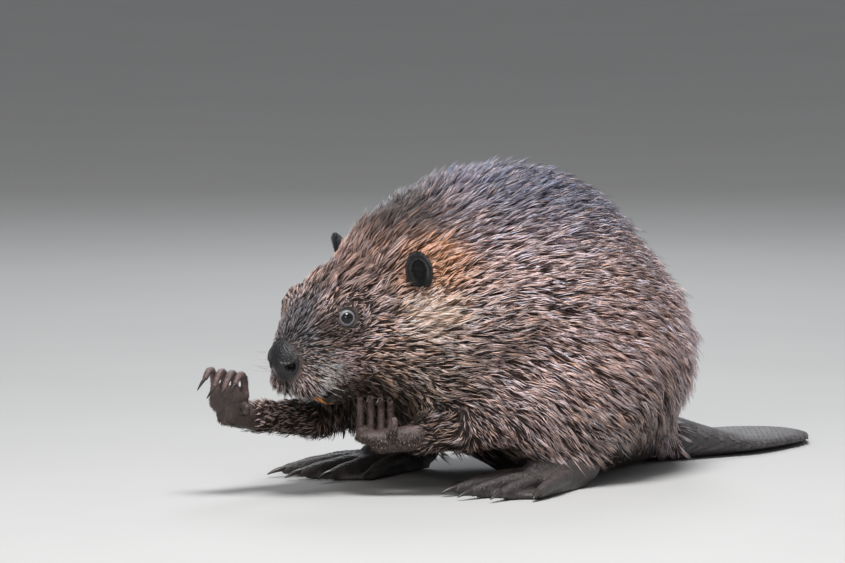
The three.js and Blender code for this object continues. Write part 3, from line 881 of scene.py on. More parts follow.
def skin_material(name, roughness, grain, strength, cells=0.0):
    """Colours from the mesh, painted shade and sheen included, mottled, with a bump of fur or of pebbled
    leather.
    """
    made, tree, shader = new_material(name, roughness)
    vector = object_place(tree)
    mottle = noise(tree, vector, 90, 5)
    tree.links.new(tinted(tree, stored(tree, "PointColour"), mottle, 0.7, 1.3), shader.inputs["Base Color"])
    normal = bump(tree, shader, noise(tree, vector, grain, 6, 0.65), strength, 1.0 * MM)
    if cells:
        voronoi = add(tree, "ShaderNodeTexVoronoi", {"Scale": cells}, feature="SMOOTH_F1")
        tree.links.new(vector, voronoi.inputs["Vector"])
        bump(tree, shader, voronoi.outputs["Distance"], 0.8, 600 * MM / cells, normal)
    return made


def fur_material(name, roughness):
    made, tree, shader = new_material(name, roughness, ior=1.52)
    streak = noise(tree, object_place(tree), 420, 3)
    tree.links.new(tinted(tree, stored(tree, "PointColour"), streak, 0.8, 1.2), shader.inputs["Base Color"])
    bump(tree, shader, streak, 0.25, 0.15 * MM)
    set_shader(made, Specular_IOR_Level=0.28)
    return made


def plain_material(name, colour, roughness, scale, low, high, height=0.1):
    """One colour with a fine grain, whose bump has its height in millimetres."""
    made, tree, shader = new_material(name, roughness)
    grain = noise(tree, object_place(tree), scale, 5)
    base = add(tree, "ShaderNodeRGB")
    base.outputs[0].default_value = (*colour, 1)
    tree.links.new(tinted(tree, base.outputs[0], grain, low, high), shader.inputs["Base Color"])
    bump(tree, shader, grain, 0.3, height * MM)
    return made


# ------------------------------------------------------------------ tufts
class Surface:
    """A mesh's triangles, ready for sampling roots with their normals and unwrapped places."""

    def __init__(self, mesh, label):
        mesh.calc_loop_triangles()
        loops, self.corners = (self.triangles(mesh, what) for what in ("loops", "vertices"))
        uv = np.empty(len(mesh.loops) * 2)
        mesh.uv_layers["OFBake"].data.foreach_get("uv", uv)
        self.uv = uv.reshape(-1, 2)[loops]
        self.points = vertex_array(mesh)
        self.normals = normal_array(mesh)
        a, b, c = (self.points[self.corners[:, i]] for i in range(3))
        self.area = np.linalg.norm(np.cross(b - a, c - a), axis=1) / 2
        self.middle = (a + b + c) / 3
        self.facing = self.normals[self.corners[:, 0]]
        self.label = label[self.corners[:, 0]]

    @staticmethod
    def triangles(mesh, what):
        flat = np.empty(len(mesh.loop_triangles) * 3, np.int64)
        mesh.loop_triangles.foreach_get(what, flat)
        return flat.reshape(-1, 3)

    def sample(self, chances, count):
        """Roots on the triangles, as many to each unit of area as its chance."""
        weight = self.area * chances
        index = RNG.choice(len(weight), size=count, p=weight / weight.sum())
        r, t = np.sqrt(RNG.random(count)), RNG.random(count)
        bary = np.stack([1 - r, r * (1 - t), r * t], axis=1)[:, :, None]
        points = (self.points[self.corners[index]] * bary).sum(axis=1)
        normals = unit((self.normals[self.corners[index]] * bary).sum(axis=1))
        return points, normals, (self.uv[index] * bary).sum(axis=1)

    def finder(self):
        """A tree that gives the index of the triangle that a ray hits."""
        return BVHTree.FromPolygons([Vector(p) for p in self.points], self.corners.tolist())

    def unwrapped(self, index, point):
        """Where a point on the triangle with that index lies on the unwrap."""
        a, b, c = self.points[self.corners[index]] - np.array(point)
        share = np.array([np.linalg.norm(np.cross(p, q)) for p, q in ((b, c), (c, a), (a, b))])
        return share @ self.uv[index] / share.sum()


def give_patches(mesh, places, spots):
    """An OFBake map where the points of each piece lie at its spots, PATCH across, round its place."""
    uv = (np.array(places)[:, None] + np.array(spots) * PATCH).reshape(-1, 2)
    layer = mesh.uv_layers.new(name="OFBake")
    corners = np.empty(len(mesh.loops), np.int64)
    mesh.loops.foreach_get("vertex_index", corners)
    layer.data.foreach_set("uv", uv[corners].astype(np.float32).ravel())


def clump(points, spacing):
    """For each root the index of a nearby root that its lock gathers round."""
    count = max(int(len(points) / spacing), 1)
    centres = RNG.choice(len(points), size=count, replace=False)
    tree = KDTree(count)
    for n, index in enumerate(centres):
        tree.insert(points[index], n)
    tree.balance()
    return centres[np.array([tree.find(p)[1] for p in points.tolist()])]


PATCH = 0.003                    # how broad one tuft is on the unwrapped skin
TUFT_POINTS = 7                  # three round the root, three round the knee and the tip
TUFT_SPOTS = [(-0.5, 0), (0.5, 0), (0, 0.1), (-0.45, 0.5), (0.45, 0.5), (0, 0.55), (0, 1.0)]
TUFT_FACES = np.array([
    (0, 2, 1), (0, 1, 4), (0, 4, 3), (1, 2, 5), (1, 5, 4), (2, 0, 3), (2, 3, 5),
    (3, 4, 6), (4, 5, 6), (5, 3, 6),
])
# The dark roots are partly the hairs' own colour and partly painted shade deep in the coat.
GUARD_TONES_AND_ROOT_SHADE, UNDER_TONES_AND_ROOT_SHADE = (0.10, 0.85, 1.12), (0.06, 0.5, 1.15)    # at the root, the knee and the tip
LOWEST = 0.4 * MM                # no tuft goes nearer than this to the floor


def tuft_arrays(roots, normals, ways, length, width, rise, gather, bend, colour, guard):
    """Points and colours of closed three-sided tapering tufts that bow over along the lie."""
    sides = np.cross(ways, normals)
    start, end = rise
    first = ways * np.cos(start)[:, None] + normals * np.sin(start)[:, None]
    second = ways * np.cos(end)[:, None] + normals * np.sin(end)[:, None]
    knee = roots + first * (length * 0.5)[:, None] + sides * (bend * length)[:, None]
    tip = knee + second * (length * 0.5)[:, None]
    partner, pull = gather
    tip += pull[:, None] * (tip[partner] - tip)
    knee += 0.45 * pull[:, None] * (knee[partner] - knee)
    base = roots - normals * 0.8 * MM
    ring = []
    for centre, share in ((base, 0.7), (knee, 1.0)):
        half = (width * share / 2)[:, None]
        ring += [centre - sides * half, centre + sides * half, centre + normals * half * 0.8]
    points = np.stack(ring + [tip], axis=1)
    points[:, :, 2] = np.maximum(points[:, :, 2], LOWEST)
    shade = np.where(guard[:, None], GUARD_TONES_AND_ROOT_SHADE, UNDER_TONES_AND_ROOT_SHADE)
    shade = np.repeat(shade, (3, 3, 1), axis=1)
    colours = colour[:, None, :] * shade[:, :, None]
    return points, colours


def tuft_mesh(name, points, colours, uv, material):
    count = len(points)
    mesh = bpy.data.meshes.new(name)
    mesh.vertices.add(count * TUFT_POINTS)
    mesh.vertices.foreach_set("co", points.ravel())
    faces = (np.arange(count)[:, None, None] * TUFT_POINTS + TUFT_FACES[None]).reshape(-1, 3)
    mesh.loops.add(len(faces) * 3)
    mesh.loops.foreach_set("vertex_index", faces.ravel())
    mesh.polygons.add(len(faces))
    mesh.polygons.foreach_set("loop_start", np.arange(len(faces)) * 3)
    mesh.polygons.foreach_set("loop_total", np.full(len(faces), 3))
    mesh.polygons.foreach_set("use_smooth", np.ones(len(faces), bool))
    give_patches(mesh, uv, np.array(TUFT_SPOTS) - (0, 0.5))
    store_point_colours(mesh, colours.reshape(-1, 3))
    mesh.update()
    return link(name, mesh, material)


MOST_TUFTS = 19000               # in one piece
BRIGHTEST = 0.90                 # the most that any colour channel of a strand reaches before its tip
LIMB_HAIR = (0.085, 0.06, 0.05)
EAR_HAIR = (0.020, 0.019, 0.022)
EAR_HAIRS = 2400                 # on each ear
EAR_HALVES = (11.6, 19.8)        # half across the leaf of an ear and half up it, in mm
CREAM_CONTRAST = 0.25            # of the usual contrast between strands is left in the pale patch

# Each kind of coat: its nodes, how many tufts, the share that are guard hairs, length and width in mm,
# rise in degrees at root and tip, tufts to a lock, how far a lock is pulled together, and how much the
# lie wanders.
COAT = [
    dict(name="body", nodes=("trunk", "neck", "left_hind_leg", "right_hind_leg"), count=78000, guard=0.32,
         length=(15, 25), width=(0.55, 0.98), rise=(24, 10), lock=8, pull=0.58, wander=0.15),
    dict(name="head", nodes=("head", "left_eye", "right_eye", "left_ear", "right_ear"), count=39000,
         guard=0.25, length=(17, 29), width=(0.42, 0.8), rise=(13, 4), lock=13, pull=0.8, wander=0.19),
    dict(name="muzzle", nodes=("muzzle", "nose"), count=13000, guard=0.3,
         length=(6, 12), width=(0.28, 0.5), rise=(13, 5), lock=6, pull=0.5, wander=0.18),
    dict(name="paws", nodes=("left_forepaw", "right_forepaw"), count=4000, guard=0.3,
         length=(2.5, 5.5), width=(0.3, 0.5), rise=(14, 4), lock=5, pull=0.4, wander=0.15),
    dict(name="feet", nodes=("left_hind_foot", "right_hind_foot"), count=4000, guard=0.3,
         length=(2.5, 6), width=(0.25, 0.42), rise=(12, 3), lock=5, pull=0.4, wander=0.15),
    dict(name="forelegs", nodes=("left_foreleg", "right_foreleg"), count=7000, guard=0.3,
         length=(9, 14), width=(0.5, 0.9), rise=(20, 6), lock=6, pull=0.5, wander=0.18),
]


def grow(surface, kind, material):
    """Covers the nodes of one kind of coat with tufts, in pieces of a size that can be exported."""
    wanted = of_nodes(surface.label, *kind["nodes"]).astype(float)
    clear = bare_places(surface.middle, surface.facing, kind["name"])
    under = 1 - 0.72 * smooth(-surface.facing[:, 2], 0.35, 0.9)
    count = kind["count"]
    roots, normals, uv = surface.sample(wanted * clear * under, count)
    on_limb = kind["name"] in ("paws", "feet")
    ways = limb_lie(roots, normals, kind["name"]) if on_limb else lie(roots, normals)
    world, in_head = local(roots, BODY_FRAME), local(roots, HEAD)
    partner = clump(roots, kind["lock"])

    def varied(shared, own):
        """Random values, one part of which is the same for a whole lock."""
        return RNG.normal(0, shared, count)[partner] + RNG.normal(0, own, count)

    swing = varied(kind["wander"], kind["wander"] * 0.45)
    ways = unit(ways + np.cross(ways, normals) * swing[:, None])
    guard = RNG.random(count) < kind["guard"]
    length = between(kind["length"], RNG.random(count)) * MM
    length *= np.where(guard, 1.25, 0.85)
    length *= 0.85 + 0.3 * RNG.random(count)[partner]
    length *= face_scale(roots, kind["name"])
    width = between(kind["width"], RNG.random(count)) * MM
    width *= np.where(guard, 1.3, 1.0)
    lift = 1 + 0.35 * RNG.normal(0, 1, count)[partner] + np.where(guard, 0.15, -0.1)
    crown = smooth(in_head[:, 0], -30, -5) * (1 - smooth(in_head[:, 0], 35, 60))
    crown *= smooth(in_head[:, 2], 12, 28)
    lift += 0.9 * crown
    start = np.radians(kind["rise"][0]) * np.clip(lift, 0.3, 2.4)
    end = np.radians(kind["rise"][1]) * np.clip(lift + RNG.normal(0, 0.5, count), -0.4, 3.0)
    near_floor = 1 - smooth(world[:, 2], 8, 45)
    start, end = start * (1 - 0.8 * near_floor), end * (1 - near_floor)
    pull = np.clip(RNG.normal(kind["pull"], 0.2, count), 0, 0.92)

    colour = np.array(LIMB_HAIR) * np.ones((count, 1)) if on_limb else markings_and_painted_light(roots, normals)
    bright = varied(0.22, 0.25)
    bright = np.exp(bright + strand_contrast(roots, normals) * np.where(guard, 0.62, -1.0))
    bend = varied(0.07, 0.05)
    colour += np.where(guard, 0.22, -0.6)[:, None] * (colour.mean(axis=1, keepdims=True) - colour)
    warm = 1 + np.outer(RNG.normal(0, 0.10, count), (1, 0, -1))
    colour = np.clip(colour * bright[:, None] * warm, 0.004, None)
    colour *= np.minimum(1, BRIGHTEST / colour.max(axis=1))[:, None]
    points, colours = tuft_arrays(
        roots, normals, ways, length, width, (start, end), (partner, pull), bend, colour, guard)
    order = np.lexsort((world[:, 0], world[:, 1] > 0))
    for n, chosen in enumerate(np.array_split(order, math.ceil(count / MOST_TUFTS))):
        name = f"coat_{kind['name']}_{n + 1}"
        piece = tuft_mesh(name, points[chosen], colours[chosen], uv[chosen], material)
        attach(piece, "root")


def ear_reach(place):
    """How far out from the middle of the leaf of an ear, where 1 is its rim."""
    return np.hypot(place[:, 1] / EAR_HALVES[0], place[:, 2] / EAR_HALVES[1])


def grow_ear_hair(ear, side, material):
    """A short black felt over the leaf of the ear, pointing to its rim."""
    leaf = Surface(ear, np.zeros(len(ear.vertices), int))
    count, in_ear = EAR_HAIRS, ear_frame(side)
    place = local(leaf.middle, in_ear)
    wanted = np.where(place[:, 0] > -1, smooth(ear_reach(place), 0.66, 0.95), 1)
    roots, normals, uv = leaf.sample(wanted, count)
    ways = (local(roots, in_ear) * (0, 1, 1) + (0, 0, 9)) @ np.array(in_ear.to_3x3()).T
    length = (1.6 + 1.6 * RNG.random(count)) * MM
    width = (0.25 + 0.2 * RNG.random(count)) * MM
    rise = np.radians(24 + 10 * RNG.normal(0, 1, count)), np.radians(8 + 8 * RNG.normal(0, 1, count))
    gather = clump(roots, 4), np.full(count, 0.3)
    colour = np.array(EAR_HAIR) * np.exp(RNG.normal(0, 0.4, count))[:, None]
    points, colours = tuft_arrays(
        roots, normals, along_skin(ways, normals), length, width, rise, gather,
        np.zeros(count), colour, RNG.random(count) < 0.5)
    piece = tuft_mesh(f"coat_{side}_ear", points, colours, uv, material)
    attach(piece, "root")


def strand_contrast(points, normals):
    """How much paler the guard hairs are than those under them: most on the head, least on the back."""
    world, place = local(points, BODY_FRAME), local(points, HEAD)
    back = smooth(normals[:, 2], 0.1, 0.8) * smooth(world[:, 2], 150, 230)
    front = 1 - smooth(world[:, 0], -120, 40)
    low = 1 - smooth(world[:, 2], 40, 110)
    cream = np.ones(len(points))
    (x, y, z), radii = PALE_NECK
    for _, sign in IN_HEAD:
        reach = reach_in(place, (x, sign * y, z), radii)
        cream *= between((CREAM_CONTRAST, 1), smooth(reach, 0.3, 1.1))
    contrast = 0.52 + 1.0 * front * (1 - back) - 0.36 * back + 0.5 * low * (1 - front)
    return (contrast + 0.25 * head_weight(points)) * cream


MOUTH = (135, 0, -54), (36, 27, 8)    # middle and radii in the frame of the head, in mm
EAR_HOLLOW = (1, 0, 0), (7.5, 14.5, 20)    # the same in the frame of an ear


def bare_places(points, normals, kind):
    """One where tufts may root, zero on eyelids and nose, inside the mouth and under the ears."""
    place = local(points, HEAD)
    keep = np.ones(len(points))
    for _, sign in IN_HEAD:
        keep *= smooth(from_eye(place, sign), 8.6, 9.6)
    keep *= 1 - smooth(nose_pad(points), 0.3, 0.7)
    for side, _ in IN_HEAD:
        keep *= smooth(reach_in(local(points, ear_frame(side)), *EAR_HOLLOW), 0.9, 1.05)
    keep *= smooth(reach_in(place, *MOUTH), 1.0, 1.15)
    if kind in ("paws", "feet"):
        keep *= limb_backs(points, normals)
    else:
        keep *= smooth(points[:, 2] / MM, 9, 20)
        world = local(points, BODY_FRAME)
        behind_heel = (np.abs(world[:, 0] + 14) < 26) & (np.abs(np.abs(world[:, 1]) - 104) < 18)
        keep *= np.where(behind_heel, smooth(world[:, 2], 34, 44), 1)
    return keep


def limb_backs(points, normals):
    """Short hair grows on the backs of paws and feet, thinning out towards the claws."""
    world = local(points, BODY_FRAME)
    keep = smooth(normals[:, 2], 0.1, 0.6) * (1 - smooth(-world[:, 0], 110, 180))
    for side, _ in IN_BODY:
        place = local(points, GRIPS[side])
        away = np.hypot(place[:, 1], place[:, 2])
        turned = normals @ np.array(GRIPS[side].to_3x3().inverted()).T
        outward = (turned[:, 1] * place[:, 1] + turned[:, 2] * place[:, 2]) / np.maximum(away, 1)
        start, turn = CURLS[side]
        angle = (start - np.degrees(np.arctan2(place[:, 1], place[:, 2])) + 60) % 360 - 60
        root_end = 1 - smooth(angle / -turn, 0.25, 0.6)
        near = np.linalg.norm(place, axis=1) < PAW_REACH
        keep = np.where(near, smooth(outward, 0.15, 0.7) * smooth(away, 14, 17) * root_end, keep)
    return keep


def face_scale(points, kind):
    """Fur shortens towards the nose, round the mouth and the eyes, and in front of the ears."""
    place = local(points, HEAD)
    scale = np.ones(len(points))
    if kind == "head":
        scale *= 1 - 0.45 * smooth(place[:, 0], 45, 100)
    scale *= between((0.45, 1), smooth(reach_in(place, *MOUTH), 1.1, 2.2))
    if kind == "muzzle":
        scale *= 1 - 0.45 * smooth(place[:, 0], 118, 142) * smooth(place[:, 2], -22, -8)
    for side, sign in IN_HEAD:
        scale *= between((0.4, 1), smooth(from_eye(place, sign), 10, 27))
        from_ear = np.linalg.norm(local(points, ear_frame(side)) - (8, 0, -4), axis=1)
        scale *= between((0.35, 1), smooth(from_ear, 20, 38))
    return scale


# ------------------------------------------------------------------ pieces of the face
def revolved(centre, axis, up, profile, around, squeeze):
    """A closed ring: the profile of (angle from the axis, radius in mm), turned about the axis."""
    across = up.cross(axis).normalized()
    up = axis.cross(across)
    rows = len(profile)
    points, faces = [], []
    for s in range(around):
        turn = 2 * math.pi * s / around
        out = across * math.cos(turn) + up * math.sin(turn)
        following = (s + 1) % around
        for n, (degrees, radius, follows) in enumerate(profile):
            angle = math.radians(degrees * (1 + follows * squeeze(turn)))
            points.append(centre + (axis * math.cos(angle) + out * math.sin(angle)) * radius * MM)
            after = (n + 1) % rows
            faces.append((s * rows + n, s * rows + after, following * rows + after, following * rows + n))
    return points, faces


def rounded(obj):
    """Bakes a subdivision surface into the mesh, so that the piece is what it looks like."""
    modifier = obj.modifiers.new("round", "SUBSURF")
    modifier.levels = modifier.render_levels = 1
    result = evaluated(obj)
    obj.modifiers.clear()
    old, obj.data = obj.data, result
    bpy.data.meshes.remove(old)
    shade_smooth(obj.data)


def recalculated(mesh):
    bm = bmesh.new()
    bm.from_mesh(mesh)
    bmesh.ops.recalc_face_normals(bm, faces=bm.faces)
    bm.to_mesh(mesh)
    bm.free()
    return mesh


# From inside the opening over the lid's edge, out to the skin and back: degrees from the eye's axis,
# distance from its middle in mm, and how much of the opening's shape it follows.
LID_PROFILE = [
    (45.5, 7.06, 1.0), (46, 7.4, 1.0), (49.5, 7.75, 0.9), (57, 7.9, 0.6), (68, 7.95, 0.3),
    (80, 8.1, 0.0), (98, 8.2, 0.0), (104, 7.8, 0.0), (96, 7.3, 0.0), (74, 7.06, 0.2),
]
PUPIL_COLOUR, IRIS_TINT = 0.004, (0.006, 0.0055, 0.0065)


def lid_opening(turn):
    """Wider along the eye than across it, with a corner towards the nose and one behind."""
    return 0.07 * math.cos(2 * turn) + 0.03 * math.cos(4 * turn)


def make_eye(side, ball_material, lid_material):
    centre, axis = EYES[side], EYE_AXES[side]
    points, faces = sphere_form(48, 32)
    turn = Vector((0, 0, 1)).rotation_difference(axis).to_matrix()
    for point in points:
        point *= EYE_RADIUS - 0.02 * MM
        if point.z > 0:
            point.z *= 1.0 + 0.03 * (point.z / EYE_RADIUS) ** 6
    mesh = mesh_of(f"{side}_eyeball", [centre + turn @ p for p in points], faces)
    height = (vertex_array(mesh) - np.array(centre)) @ np.array(axis) / EYE_RADIUS
    across = np.sqrt(np.clip(1 - height ** 2, 0, 1)) * EYE_RADIUS / MM
    iris = smooth(across, 2.6, 3.4) * (1 - smooth(across, 5.0, 5.8)) * (height > 0)
    store_point_colours(mesh, PUPIL_COLOUR + iris[:, None] * np.array(IRIS_TINT))
    shade_smooth(mesh)
    ball = link(f"{side}_eyeball", mesh, ball_material)
    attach(ball, "root")
    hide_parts(f"{side}_eye")

    up = HEAD_TURN @ Vector((-0.35, 0, 1))
    points, faces = revolved(centre, axis, up, LID_PROFILE, 40, lid_opening)
    lids = link(f"{side}_eyelids", recalculated(mesh_of("lids", points, faces)), lid_material)
    rounded(lids)
    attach(lids, "root")


def lofted(name, path, halves, sides, material, broad=1.0, across=None):
    """A closed tapering piece through the points, with half a width in millimetres at each."""
    points, faces = tube(path, [h * MM for h in halves], sides, broad, across)
    obj = link(name, recalculated(mesh_of(name, points, faces)), material)
    shade_smooth(obj.data)
    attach(obj, "root")
    return obj


TEETH = {                        # from root to edge, forward and up of the middle between the ears, in mm
    "upper": [(124, -26), (131, -33), (135.5, -41), (136.6, -48), (136.2, -54.5)],
    "lower": [(117, -75), (124, -69.5), (128.6, -64.5), (131, -60.5), (132.2, -57.5)],
}


def make_teeth(material):
    across = HEAD_TURN @ Vector((0, 1, 0))
    for jaw, path in TEETH.items():
        for side, sign in IN_HEAD:
            points = [head(x, sign * 3.35, z) for x, z in path]
            tooth = lofted(f"{side}_{jaw}_incisor", points, (2.3, 2.5, 2.4, 1.9, 0.5), 10, material,
                           broad=1.3, across=across)
            rounded(tooth)
            if side == "left":
                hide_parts(f"{jaw}_incisors")


# ------------------------------------------------------------------ ears
# The second ear colour is painted shade, taken off the colour inside the bowl of the ear.
EAR_COLOUR, EAR_BOWL_PAINTED_SHADE = (0.018, 0.0185, 0.0215), (0.008, 0.0085, 0.010)    # shade comes off inside


def make_ear(side, material):
    """A thick rounded leaf with a shallow bowl in its open face and a rolled rim."""
    in_ear = ear_frame(side)
    points, faces = sphere_form(48, 36)
    for point in points:
        x, y, z = point
        reach = math.hypot(y, z)
        if x > 0:
            bowl = 1 - float(smooth(np.array(reach), 0.50, 0.86))
            x = x * (1 - bowl) - 0.30 * bowl + 0.10 * math.exp(-((reach - 0.93) / 0.1) ** 2)
        wave = 0.05 * math.sin(3 * math.atan2(z, y) + 0.7)
        point.xyz = in_ear @ (Vector((x * 6.0 + wave * 6, y * EAR_HALVES[0], z * EAR_HALVES[1])) * MM)
    mesh = mesh_of(f"{side}_ear_leaf", points, faces)
    unwrap(mesh)
    place = local(vertex_array(mesh), in_ear)
    # Painted shade: the leaf darkens towards the middle of its open face.
    inside = (1 - smooth(ear_reach(place), 0.35, 1.0)) * (place[:, 0] > -4)
    store_point_colours(mesh, np.array(EAR_COLOUR) - inside[:, None] * np.array(EAR_BOWL_PAINTED_SHADE))
    shade_smooth(mesh)
    ear = link(f"{side}_ear_leaf", mesh, material)
    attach(ear, "root")
    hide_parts(f"{side}_ear")
    return ear


# ------------------------------------------------------------------ claws
def finger_claw(side, along, share):
    """From the last joint of the finger round to a point past its tip."""
    start, turn = CURLS[side]
    places = []
    for off, extra in ((0.4, -4), (1.6, 8), (2.4, 26), (1.4, 50)):
        degrees = start + turn * share + math.copysign(extra, turn)
        places.append(finger_point(side, along, degrees, CURL_REACH[1] + off, 1 + extra / 90))
    return places


def toe_claw(side, fan, share):
    """From over the end of the toe down to a point past it."""
    return [toe_point(side, fan, TOE_LENGTH * share * reach, height)
            for reach, height in ((0.91, 7.6), (0.98, 7.2), (1.05, 5.4), (1.105, 1.9))]


def make_claws(material):
    kinds = [("finger", FINGERS, finger_claw, (1.7, 2.0, 1.5, 0.3), 0.85),
             ("toe", TOES, toe_claw, (2.6, 3.0, 2.1, 0.4), 1.25)]
    for side, _ in IN_BODY:
        for kind, digits, path_of, halves, broad in kinds:
            for n, digit in enumerate(digits):
                claw = lofted(f"{side}_{kind}_claw_{n + 1}", path_of(side, *digit), halves, 8, material,
                              broad=broad)
                rounded(claw)


# ------------------------------------------------------------------ whiskers
def make_whiskers(surface, material):
    """Stiff pale bristles on the upper lips, all in one piece."""
    joined, places, finder = bmesh.new(), [], surface.finder()
    roots = [(126 + 3 * r + c * 3.2, -14 - 5.5 * r + c, 26 + c * 4) for r in range(4) for c in range(4)]
    for _, sign in IN_HEAD:
        for x, z, size in roots:
            inwards = HEAD_TURN @ Vector((0, -sign, 0))
            hit, _, index, _ = finder.ray_cast(head(min(x, 141), sign * 60, z), inwards)
            if hit is None:
                continue
            way = HEAD_TURN @ Vector((0.15 + 0.25 * RNG.random(), sign * 0.9, -0.1 + 0.3 * RNG.random()))
            back = HEAD_TURN @ Vector((-0.35, 0, -0.1))
            length = size * MM * (0.8 + 0.4 * RNG.random())
            path = [hit - way * 1.5 * MM + way * length * t + back * length * t * t * 0.5
                    for t in (0, 0.35, 0.7, 1)]
            one = lofted(f"whisker_{len(places)}", path, (0.2, 0.17, 0.12, 0.04), 5, material)
            joined.from_mesh(one.data)
            discard(one)
            places.append(surface.unwrapped(index, hit))
    mesh = finished(joined, "whiskers")
    give_patches(mesh, places, [(s / 5 - 0.5, n / 3 - 0.5) for n in range(4) for s in range(5)])
    whiskers = link("whiskers", mesh, material)
    shade_smooth(mesh)
    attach(whiskers, "root")


# ------------------------------------------------------------------ tail scales
ROW_STEP, COLUMN_STEP = 4.6, 6.4    # between the middles of scales along and across the tail, in mm
SCALE_COLOUR = (0.072, 0.065, 0.066)
SCALE_OUTLINE = [(-0.6, 0), (-0.42, 0.42), (0.1, 0.5), (0.48, 0.26), (0.6, 0),
                 (0.48, -0.26), (0.1, -0.5), (-0.42, -0.42)]
SCALE_RINGS = ((-0.5, 1.0, 1.0), (0.25, 1.0, 0.9), (0.5, 0.72, 0.65))    # height in mm, size, size of patch


def scale_places():
    """Places in staggered rows over the upper and then the lower face of the paddle, in mm."""
    for face in (1, -1):
        row, x = 0, TAIL_CUT / MM + 6
        while x < TAIL_LENGTH / MM - 3:
            for column in range(-11, 12):
                yield face, x, column * COLUMN_STEP + (row % 2) * COLUMN_STEP / 2
            row += 1
            x += ROW_STEP


def make_scales(surface, material):
    """Low overlapping scales over both faces of the paddle, in one piece."""
    finder, around = surface.finder(), len(SCALE_OUTLINE)
    points, faces, tones, places = [], [], [], []
    for face, x, y in scale_places():
        start = TAIL @ (Vector((x, y, 60 * face)) * MM)
        hit, normal, index, _ = finder.ray_cast(start, Vector((0, 0, -face)))
        if hit is None or normal.z * face < 0.25 or NAMES[surface.label[index]] != "tail":
            continue
        along = TAIL.to_3x3() @ Vector((1, 0, 0))
        along = (along - normal * along.dot(normal)).normalized()
        across = normal.cross(along)
        base = len(points)
        size = 1 + RNG.normal(0, 0.05)
        for height, grown, _ in SCALE_RINGS:
            for u, v in SCALE_OUTLINE:
                tilt = (u + 0.6) * 0.35 if height > 0 else 0
                place = hit + along * u * ROW_STEP * 1.22 * grown * size * MM
                place += across * v * COLUMN_STEP * 1.04 * grown * size * MM
                points.append(place + normal * (height + tilt) * MM)
        for ring in (base, base + around):
            for k in range(around):
                a, b = ring + k, ring + (k + 1) % around
                faces.append((a, a + around, b + around, b))
        faces.append(tuple(base + k for k in range(around)))
        faces.append(tuple(base + 2 * around + k for k in range(around))[::-1])
        tones.append(0.8 + 0.45 * RNG.random())
        places.append(surface.unwrapped(index, hit))
    points = [Vector((p.x, p.y, max(p.z, 0.0))) for p in points]
    mesh = recalculated(mesh_of("tail_scales", points, faces))
    store_point_colours(mesh, np.repeat(np.array(tones), 3 * around)[:, None] * np.array(SCALE_COLOUR))
    spots = [(u * patch, v * patch) for _, _, patch in SCALE_RINGS for u, v in SCALE_OUTLINE]
    give_patches(mesh, places, spots)
    scales = link("tail_scales", mesh, material)
    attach(scales, "root")


# ------------------------------------------------------------------ build
LIGHT_SIZE = 1.2                 # across the disk of each light
FLOOR_HALF = 9


def make_animal():
    mesh, tree, owner = make_skin()
    unwrap(mesh)
    label = colour_skin(mesh, tree, owner)
    shade_smooth(mesh)
    for looks in (("underfur", 0.62, 900, 0.6), ("nose_leather", 0.30, 420, 0.8, 700),
                  ("bare_skin", 0.46, 620, 0.8, 520), ("tail_skin", 0.5, 260, 0.5)):
        mesh.materials.append(skin_material(*looks))
    bare_skin = of_nodes(label, "left_ear", "right_ear", "left_forepaw", "right_forepaw",
                         "left_hind_foot", "right_hind_foot")
    material_of = np.where(bare_skin, 2, np.where(of_nodes(label, "tail"), 3, 0))
    material_of[nose_pad(vertex_array(mesh)) > 0.5] = 1    # these numbers follow the order above
    first = np.array([p.vertices[0] for p in mesh.polygons])
    mesh.polygons.foreach_set("material_index", material_of[first].astype(np.int32))
    skin = link("skin", mesh)
    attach(skin, "root")
    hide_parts(*[n for n in NAMES if not n.endswith(("_eye", "_ear"))])

    eye = skin_material("eye", 0.07, 900, 0.0)
    set_shader(eye, Specular_IOR_Level=0.4)
    lid = plain_material("eyelid", (0.18, 0.173, 0.182), 0.42, 900, 0.7, 1.25, 0.15)
    for side, _ in IN_HEAD:
        make_eye(side, eye, lid)
    felt = skin_material("ear_felt", 0.85, 1900, 1.0)
    set_shader(felt, Specular_IOR_Level=0.25, Sheen_Weight=0.35, Sheen_Roughness=0.4)
    ears = {side: make_ear(side, felt) for side, _ in IN_HEAD}
    make_teeth(plain_material("enamel", (0.62, 0.24, 0.045), 0.28, 260, 0.75, 1.2, 0.05))
    make_claws(plain_material("horn", (0.035, 0.028, 0.026), 0.35, 500, 0.6, 1.5, 0.08))

    surface = Surface(mesh, label)
    make_whiskers(surface, plain_material("bristle", (0.55, 0.50, 0.46), 0.4, 200, 0.8, 1.2, 0.0))
    make_scales(surface, skin_material("scales", 0.42, 520, 0.5))
    fur = fur_material("wet_fur", 0.42)
    for kind in COAT:
        grow(surface, kind, fur)
    for side, ear in ears.items():
        grow_ear_hair(ear.data, side, fur)


def looking(place, target):
    """A matrix that stands at the place and faces the target."""
    place = Vector(place)
    return Matrix.Translation(place) @ (Vector(target) - place).to_track_quat("-Z", "Y").to_matrix().to_4x4()


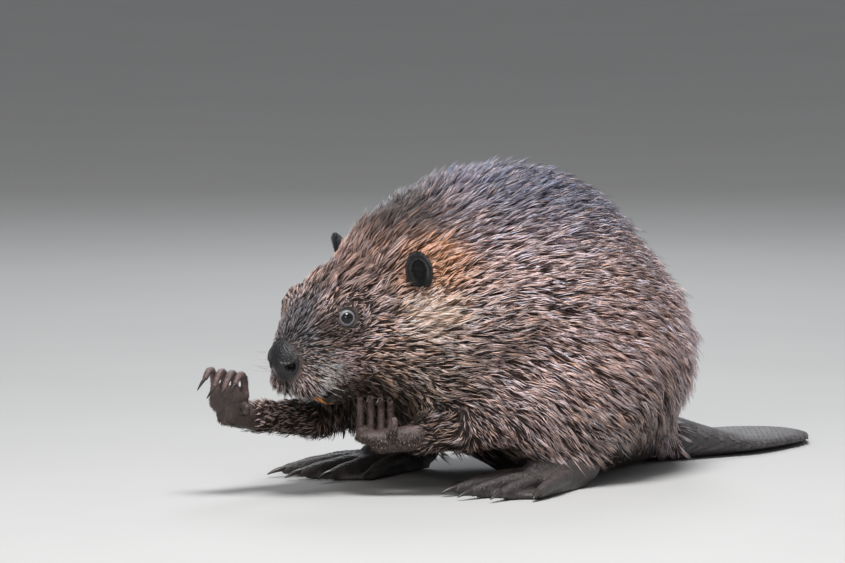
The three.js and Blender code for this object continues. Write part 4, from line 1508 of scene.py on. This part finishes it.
def pixel_camera():
    """A camera at the photograph's angle, with the body's middle at its own place in the frame."""
    back = Vector((
        math.sin(CAMERA_AZIMUTH) * math.cos(CAMERA_HEIGHT),
        -math.cos(CAMERA_AZIMUTH) * math.cos(CAMERA_HEIGHT),
        math.sin(CAMERA_HEIGHT),
    ))
    right = Vector((math.cos(CAMERA_AZIMUTH), math.sin(CAMERA_AZIMUTH), 0))
    up = back.cross(right)
    aim = SHIFT + right * (IMAGE_WIDTH / 2 - BODY_PIXEL[0]) * METRES_PER_PIXEL \
        + up * (BODY_PIXEL[1] - IMAGE_HEIGHT / 2) * METRES_PER_PIXEL
    place = SHIFT + back * CAMERA_DISTANCE
    data = bpy.data.cameras.new("camera")
    data.sensor_width = 36
    data.lens = data.sensor_width * (place - aim).length / (IMAGE_WIDTH * METRES_PER_PIXEL)
    data.clip_end = 60
    camera = link("camera", data)
    camera.matrix_world = looking(place, aim)
    bpy.context.scene.camera = camera


def area_light(name, place, target, power, colour):
    data = bpy.data.lights.new(name, "AREA")
    data.shape = "DISK"
    data.size = LIGHT_SIZE
    data.energy = power
    data.color = colour
    link(name, data).matrix_world = looking(place, target)


def make_studio():
    floor = plain_material("floor", (0.44, 0.435, 0.425), 0.85, 3, 0.98, 1.02, 0.0)
    corners = [(x * FLOOR_HALF, y * FLOOR_HALF, -MM) for x, y in ((-1, -1), (1, -1), (1, 1), (-1, 1))]
    link("floor", mesh_of("floor", corners, [(0, 1, 2, 3)]), floor)
    world = bpy.data.worlds.new("studio")
    world.use_nodes = True
    world.node_tree.nodes["Background"].inputs["Color"].default_value = (0.94, 0.96, 1.0, 1)
    world.node_tree.nodes["Background"].inputs["Strength"].default_value = 0.30
    bpy.context.scene.world = world
    bpy.context.scene.view_settings.view_transform = "Standard"
    area_light("sky", (-0.6, -0.7, 2.6), (0, 0, 0.1), 98, (0.98, 0.99, 1.0))
    area_light("front", (-2.4, -1.5, 1.2), (-0.1, 0, 0.12), 24, (1.0, 0.98, 0.95))
    area_light("rim", (1.6, 1.8, 1.8), (0, 0, 0.12), 22, (0.9, 0.95, 1.0))


make_animal()
pixel_camera()
make_studio()
